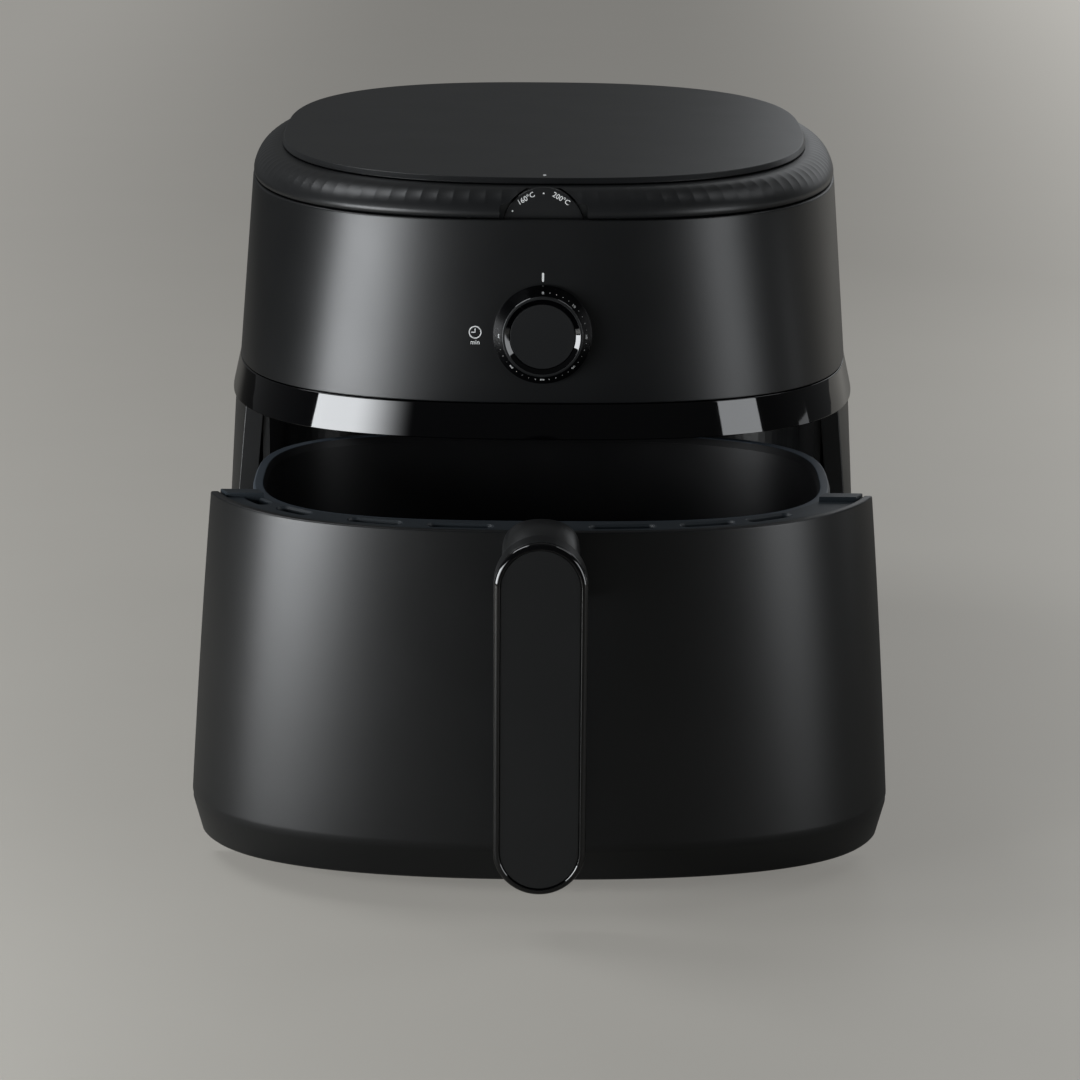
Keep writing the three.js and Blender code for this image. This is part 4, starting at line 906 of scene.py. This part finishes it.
knob = {
    "radius": 0.0224, "height": 0.009, "standOff": 0.0006, "skirt": 0.0014, "backFlat": 0.010,
    "ring": 0.0184, "ringEdge": 0.0004, "ringDepth": 0.0003, "well": 0.0171, "wellFoot": 0.015,
    "wellDrop": 0.0014, "seat": 0.0149, "seatDrop": 0.004, "seatFlat": 0.008, "seatFlatDrop": 0.0045,
    "edges": (0, 0.0003, 0.0006, 0.0003, 0.0002, 0.0002, 0, 0, 0),
}
height = knob["height"]
timerKnob = turned(
    "timerKnob",
    [
        (knob["backFlat"], knob["standOff"]), (knob["radius"], knob["standOff"]),
        (knob["radius"], knob["standOff"] + knob["skirt"]), (knob["ring"], height - knob["ringEdge"]),
        (knob["ring"] - knob["ringEdge"], height), (knob["well"], height),
        (knob["wellFoot"], height - knob["wellDrop"]), (knob["seat"], height - knob["seatDrop"]),
        (knob["seatFlat"], height - knob["seatFlatDrop"]),
    ],
    knob["edges"],
    knobFrame,
)
settle(timerKnob, "timer_dial", glossPlastic, ["timer_knob"])
timerKnob.data.materials.append(satinPlastic)
inKnob = knobFrame.inverted()
for face in timerKnob.data.polygons:
    at = inKnob @ face.center
    radius = math.hypot(at.x, at.y)
    if at.z > height - knob["ringDepth"] and knob["well"] - tolerance < radius < knob["ring"]:
        face.material_index = 1

cap = {
    "radius": 0.0147, "drop": 0.0011, "sag": 0.0001, "seat": 0.0039, "underFlat": 0.004, "flat": 0.011,
    "edge": 0.0004,
}
top = height - cap["drop"]
seat = height - cap["seat"]
timerCap = turned(
    "timerCap",
    [(cap["underFlat"], seat), (cap["radius"], seat), (cap["radius"], top), (cap["flat"], top - cap["sag"])],
    [0, 0, cap["edge"], 0],
    knobFrame,
)
settle(timerCap, "timer_dial", satinPlastic, ["timer_knob_cap"])

# The temperature wheel lies in the notch, on a hub

wheel = {
    "radius": 0.0187, "front": 0.00275, "back": -0.00125, "edge": 0.0005, "flat": 0.010,
    "hub": -0.00275, "hubRadius": 0.007, "hubEdge": 0.0003, "hubFlat": 0.003,
}
temperatureWheel = turned(
    "temperatureWheel",
    [
        (wheel["hubFlat"], wheel["hub"]), (wheel["hubRadius"], wheel["hub"]),
        (wheel["hubRadius"], wheel["back"]), (wheel["radius"], wheel["back"]),
        (wheel["radius"], wheel["front"]), (wheel["flat"], wheel["front"]),
    ],
    [0, wheel["hubEdge"], wheel["hubEdge"], wheel["edge"], wheel["edge"], 0],
    wheelFrame,
)
settle(temperatureWheel, "temperature_dial", satinPlastic, ["temperature_wheel"])
print("dials")


# Pad-printed marks: thin flat films that lie half in the surface

marks = {"thickness": 0.00008, "curveSteps": 3, "boldness": 0.012, "barPoints": 16}


def textMesh(words, size, matrix):
    bpy.ops.object.select_all(action="DESELECT")
    bpy.ops.object.text_add()
    text = bpy.context.object
    text.data.body = words
    text.data.size = size
    text.data.align_x = "CENTER"
    text.data.align_y = "CENTER"
    text.data.extrude = marks["thickness"]
    text.data.resolution_u = marks["curveSteps"]
    text.data.offset = size * marks["boldness"]
    bpy.ops.object.convert(target="MESH")
    made = bpy.context.object
    made.data.transform(matrix)
    bpy.ops.object.mode_set(mode="EDIT")
    bpy.ops.mesh.select_all(action="SELECT")
    bpy.ops.mesh.remove_doubles(threshold=0.0000001)
    bpy.ops.mesh.normals_make_consistent(inside=False)
    bpy.ops.object.mode_set(mode="OBJECT")
    return made


def roundMark(radius, matrix, count, inner=0.0):
    thickness = marks["thickness"]
    profile = [(radius, -thickness), (radius, thickness)]
    if inner:
        profile += [(inner, thickness), (inner, -thickness)]
    return drawOut("mark", [turnedRing(r, h, matrix, count) for r, h in profile], closed=bool(inner))


def barMark(halfWidth, halfHeight, matrix):
    ring = []
    for i in range(marks["barPoints"]):
        turn = (i + 0.5) / marks["barPoints"] * 2 * math.pi
        y = halfWidth * math.sin(turn) + math.copysign(halfHeight - halfWidth, math.sin(turn))
        ring.append((halfWidth * math.cos(turn), y))
    heights = (-marks["thickness"], marks["thickness"])
    return drawOut("mark", [[matrix @ Vector((x, y, height)) for x, y in ring] for height in heights])


# The timer's numbers, one for every ten minutes, with a dot for every two between them

timerPrint = {
    "numeral": 0.0021, "radius": 0.0197, "dot": 0.00016, "dotRadius": 0.0199, "dotPoints": 10,
    "tenMinutes": 45, "twoMinutes": 9,
}
slope = math.atan2(knob["height"] - knob["skirt"] - knob["standOff"], knob["radius"] - knob["ring"])


# A place on the knob's cone, clockwise from the top, with its text's top outwards
def onSkirt(degrees, radius):
    height = knob["standOff"] + knob["skirt"] + (knob["radius"] - radius) * math.tan(slope)
    turn = Matrix.Rotation(-math.radians(degrees), 4, "Z")
    lean = Matrix.Rotation(-slope, 4, "X")
    return knobFrame @ turn @ Matrix.Translation((0, radius, height)) @ lean


numerals = []
for i in range(7):
    place = onSkirt(i * timerPrint["tenMinutes"], timerPrint["radius"])
    numerals.append(textMesh(str(i * 10), timerPrint["numeral"], place))
for i in range(6):
    for k in range(1, 5):
        place = onSkirt(i * timerPrint["tenMinutes"] + k * timerPrint["twoMinutes"], timerPrint["dotRadius"])
        numerals.append(roundMark(timerPrint["dot"], place, timerPrint["dotPoints"]))
timerNumerals = join(numerals, "timerNumerals")
settle(timerNumerals, "timer_dial", padInk)

# The wheel's temperatures. Every 40 degrees C has its number, 60 degrees of turn apart, with a dot half way.

wheelPrint = {
    "numeral": 0.0033, "radius": 0.0158, "dot": 0.0004, "dotRadius": 0.0161, "dotPoints": 16,
    "hottest": 200, "step": 40, "hottestTurn": 30, "stepTurn": 60,
}


def onWheel(degrees, radius):
    turn = Matrix.Rotation(-math.radians(degrees), 4, "Z")
    return wheelFrame @ turn @ Matrix.Translation((0, radius, wheel["front"]))


wheelMarks = []
for i in range(4):
    words = f"{wheelPrint['hottest'] - wheelPrint['step'] * i}°C"
    place = onWheel(wheelPrint["hottestTurn"] - wheelPrint["stepTurn"] * i, wheelPrint["radius"])
    wheelMarks.append(textMesh(words, wheelPrint["numeral"], place))
for i in range(3):
    place = onWheel(-wheelPrint["stepTurn"] * i, wheelPrint["dotRadius"])
    wheelMarks.append(roundMark(wheelPrint["dot"], place, wheelPrint["dotPoints"]))
temperatureMarks = join(wheelMarks, "temperatureMarks")
settle(temperatureMarks, "temperature_dial", padInk)

# On the shell's front: the mark over the knob, a clock sign, and the timer's unit under it

frontPrint = {
    "mark": (0, 0.2398), "markHalves": (0.0005, 0.0021), "clock": (-0.0305, 0.2145), "clockRadius": 0.0029,
    "clockInner": 0.0024, "clockPoints": 48, "handHalves": (0.00022, 0.001), "handOut": 0.0008,
    "unit": (-0.0305, 0.2099), "unitSize": 0.0029,
}


def onShell(x, z):
    plan = bodyPlan(z)
    step = 0.0005
    turn = Matrix.Rotation(math.atan2(frontAt(plan, x + step) - frontAt(plan, x - step), 2 * step), 4, "Z")
    lean = Matrix.Rotation(math.pi / 2 - math.atan(body["frontDraft"]), 4, "X")
    return Matrix.Translation((x, frontAt(plan, x), z)) @ turn @ lean


clock = onShell(*frontPrint["clock"])
upHand = clock @ Matrix.Translation((0, frontPrint["handOut"], 0))
sideHand = clock @ Matrix.Translation((-frontPrint["handOut"], 0, 0)) @ Matrix.Rotation(math.pi / 2, 4, "Z")
shellMarks = [
    barMark(*frontPrint["markHalves"], onShell(*frontPrint["mark"])),
    roundMark(frontPrint["clockRadius"], clock, frontPrint["clockPoints"], frontPrint["clockInner"]),
    barMark(*frontPrint["handHalves"], upHand),
    barMark(*frontPrint["handHalves"], sideHand),
    textMesh("min", frontPrint["unitSize"], onShell(*frontPrint["unit"])),
]
shellPrint = join(shellMarks, "shellPrint")
settle(shellPrint, "housing", padInk)

# A dot drawn out from front to back, on the top plate behind the knob

topPrint = {"radius": 0.0008, "stretch": 3, "place": (0.0004, -0.0434), "points": 20}
place = Matrix.Translation((*topPrint["place"], plateHigh.z - plate["sink"]))
place = place @ Matrix.Diagonal((1, topPrint["stretch"], 1, 1))
plateDot = roundMark(topPrint["radius"], place, topPrint["points"])
plateDot.name = plateDot.data.name = "plateDot"
settle(plateDot, "housing", padInk)
print("marks")


# The CAD nodes that stay take the finish of their slot

for name, node in frame["nodes"].items():
    slot = nodeSlot.get(name) or node.material_slots[0].material.name
    finish = slotFinish.get(slot, mattePlastic)
    for held in node.material_slots:
        held.material = finish
print("CAD nodes finished")


# The floor: pale honed stone, faintly clouded and nearly matt. A soft glow stands for the daylight on it,
# which lifts what the camera sees, most at the right, and what the gloss parts mirror at both sides.

floorLook = {
    "size": 12.0, "dark": "#8f8c85", "light": "#99968f", "cloud": 0.16, "roughness": 0.6,
    "glow": "#f2efe8", "seen": 0.2, "seenAside": 0.42, "mirrored": 0.42,
    "ramps": {
        "right": ("X", 0.1, 0.9, 1.0), "left": ("X", -0.1, -0.6, 0.3),
        "behind": ("Y", 0.1, 1.0, 1.0), "nearLeft": ("X", -1.2, -0.5, 0.7),
    },
}
floorValues = {"Roughness": floorLook["roughness"], "IOR": 1.45}
floorMaterial, tree, shader = startMaterial("worktopHonedPale", floorLook["dark"], floorValues)
place = addNode(tree, "TexCoord").outputs["Object"]
cloud = addNode(tree, "TexNoise", {"Vector": place, "Scale": 1 / floorLook["cloud"], "Detail": 3.0})
addShades(tree, shader, cloud, floorLook)
along = addNode(tree, "SeparateXYZ", {"Vector": place})
ramps = {}
for name, (axis, start, end, most) in floorLook["ramps"].items():
    reach = {"Value": along.outputs[axis], "From Min": start, "From Max": end, "To Max": most}
    ramps[name] = addNode(tree, "MapRange", reach, interpolation_type="SMOOTHSTEP").outputs["Result"]
rays = addNode(tree, "LightPath")
aside = addNode(tree, "Math", {0: ramps["right"], 1: ramps["left"]}, operation="ADD")
terms = {0: aside.outputs["Value"], 1: floorLook["seenAside"], 2: floorLook["seen"]}
lifted = addNode(tree, "Math", terms, operation="MULTIPLY_ADD")
terms = {0: lifted.outputs["Value"], 1: rays.outputs["Is Camera Ray"]}
seen = addNode(tree, "Math", terms, operation="MULTIPLY")
farRight = addNode(tree, "Math", {0: ramps["right"], 1: ramps["behind"]}, operation="MULTIPLY")
terms = {0: ramps["left"], 1: ramps["nearLeft"], 2: farRight.outputs["Value"]}
bothSides = addNode(tree, "Math", terms, operation="MULTIPLY_ADD")
terms = {0: bothSides.outputs["Value"], 1: floorLook["mirrored"]}
shine = addNode(tree, "Math", terms, operation="MULTIPLY")
terms = {0: shine.outputs["Value"], 1: rays.outputs["Is Glossy Ray"], 2: seen.outputs["Value"]}
glow = addNode(tree, "Math", terms, operation="MULTIPLY_ADD")
shader.inputs["Emission Color"].default_value = linear(floorLook["glow"])
tree.links.new(glow.outputs["Value"], shader.inputs["Emission Strength"])
bpy.ops.object.select_all(action="DESELECT")
bpy.ops.mesh.primitive_plane_add(size=floorLook["size"], location=(0, 0, 0))
floor = bpy.context.object
floor.name = floor.data.name = "floor"
floor.data.materials.append(floorMaterial)

# Lamps: a middle, the point each one faces, width and height, radiance, and where along its width it fades.
# The softbox gives the broad highlight at the left, the strip and the doorway the narrow ones at the right.

lampColour = (0.945, 0.972, 1.0)  # cool daylight
lamps = {
    "softbox": {
        "middle": (-0.644, -0.655, 0.2), "aim": (-0.017, 0.079, 0.2), "size": (0.83, 0.34), "radiance": 12.8,
        "fade": (0.9, 0.43),
    },
    "strip": {
        "middle": (0.863, -0.672, 0.3), "aim": (0.0, 0.014, 0.3), "size": (0.38, 0.59), "radiance": 3.8,
    },
    "doorway": {
        "middle": (1.02, 0.04, 0.14), "aim": (0.0, -0.04, 0.14), "size": (0.157, 0.2), "radiance": 1.0,
    },
    "backlight": {
        "middle": (0.52, 0.9, 0.57), "aim": (0.08, 0.0, 0.3), "size": (0.8, 0.5), "radiance": 0.75,
    },
    "upperLeft": {
        "middle": (-0.72, 0.12, 1.25), "aim": (-0.1, 0.0, 0.27), "size": (0.5, 0.6), "radiance": 4.6,
    },
    "upperRight": {
        "middle": (0.8, 0.1, 1.2), "aim": (0.1, 0.0, 0.27), "size": (0.4, 0.6), "radiance": 1.6,
    },
}
for name, lamp in lamps.items():
    width, tall = lamp["size"]
    bpy.ops.object.light_add(type="AREA")
    light = bpy.context.object
    light.name = light.data.name = name
    light.data.shape = "RECTANGLE"
    light.data.size = width
    light.data.size_y = tall
    light.data.energy = lamp["radiance"] * math.pi * width * tall
    light.data.color = lampColour
    light.visible_camera = False
    facing = (Vector(lamp["aim"]) - Vector(lamp["middle"])).to_track_quat("-Z", "Y")
    light.matrix_world = Matrix.Translation(lamp["middle"]) @ facing.to_matrix().to_4x4()
    if "fade" in lamp:
        dim, full = lamp["fade"]
        light.data.use_nodes = True
        tree = light.data.node_tree
        across = addNode(tree, "SeparateXYZ", {"Vector": addNode(tree, "NewGeometry").outputs["Parametric"]})
        reach = {"Value": across.outputs["X"], "From Min": dim, "From Max": full}
        fade = addNode(tree, "MapRange", reach, interpolation_type="SMOOTHSTEP")
        tree.links.new(fade.outputs["Result"], tree.nodes["Emission"].inputs["Strength"])
print("lamps:", ", ".join(lamps))

# The room: dark in front and dim behind, and a pale wall where the camera looks past the floor

room = {"colour": "#eef1f2", "front": 0.04, "back": 0.13, "turns": (-0.3, 0.8), "seen": 0.5}
world = bpy.data.worlds.new("room")
scene.world = world
world.use_nodes = True
tree = world.node_tree
direction = addNode(tree, "SeparateXYZ", {"Vector": addNode(tree, "TexCoord").outputs["Generated"]})
start, end = room["turns"]
reach = {
    "Value": direction.outputs["Y"], "From Min": start, "From Max": end,
    "To Min": room["front"], "To Max": room["back"],
}
around = addNode(tree, "MapRange", reach)
seen = addNode(tree, "LightPath").outputs["Is Camera Ray"]
strength = addNode(tree, "Mix", {"Factor": seen, "A": around.outputs["Result"], "B": room["seen"]})
background = tree.nodes["Background"]
background.inputs["Color"].default_value = linear(room["colour"])
tree.links.new(strength.outputs["Result"], background.inputs["Strength"])

# The camera stands a little above the object and looks slightly down, with a long lens

view = {"place": (-0.0005, -1.7932, 0.586), "tilt": 74.8, "roll": 0.42, "lens": 130.07, "sensor": 36.0}
bpy.ops.object.camera_add()
camera = bpy.context.object
camera.data.sensor_width = view["sensor"]
camera.data.lens = view["lens"]
tilt = Matrix.Rotation(math.radians(view["tilt"]), 4, "X")
roll = Matrix.Rotation(math.radians(view["roll"]), 4, "Z")
camera.matrix_world = Matrix.Translation(view["place"]) @ tilt @ roll
scene.camera = camera
scene.view_settings.view_transform = "Standard"
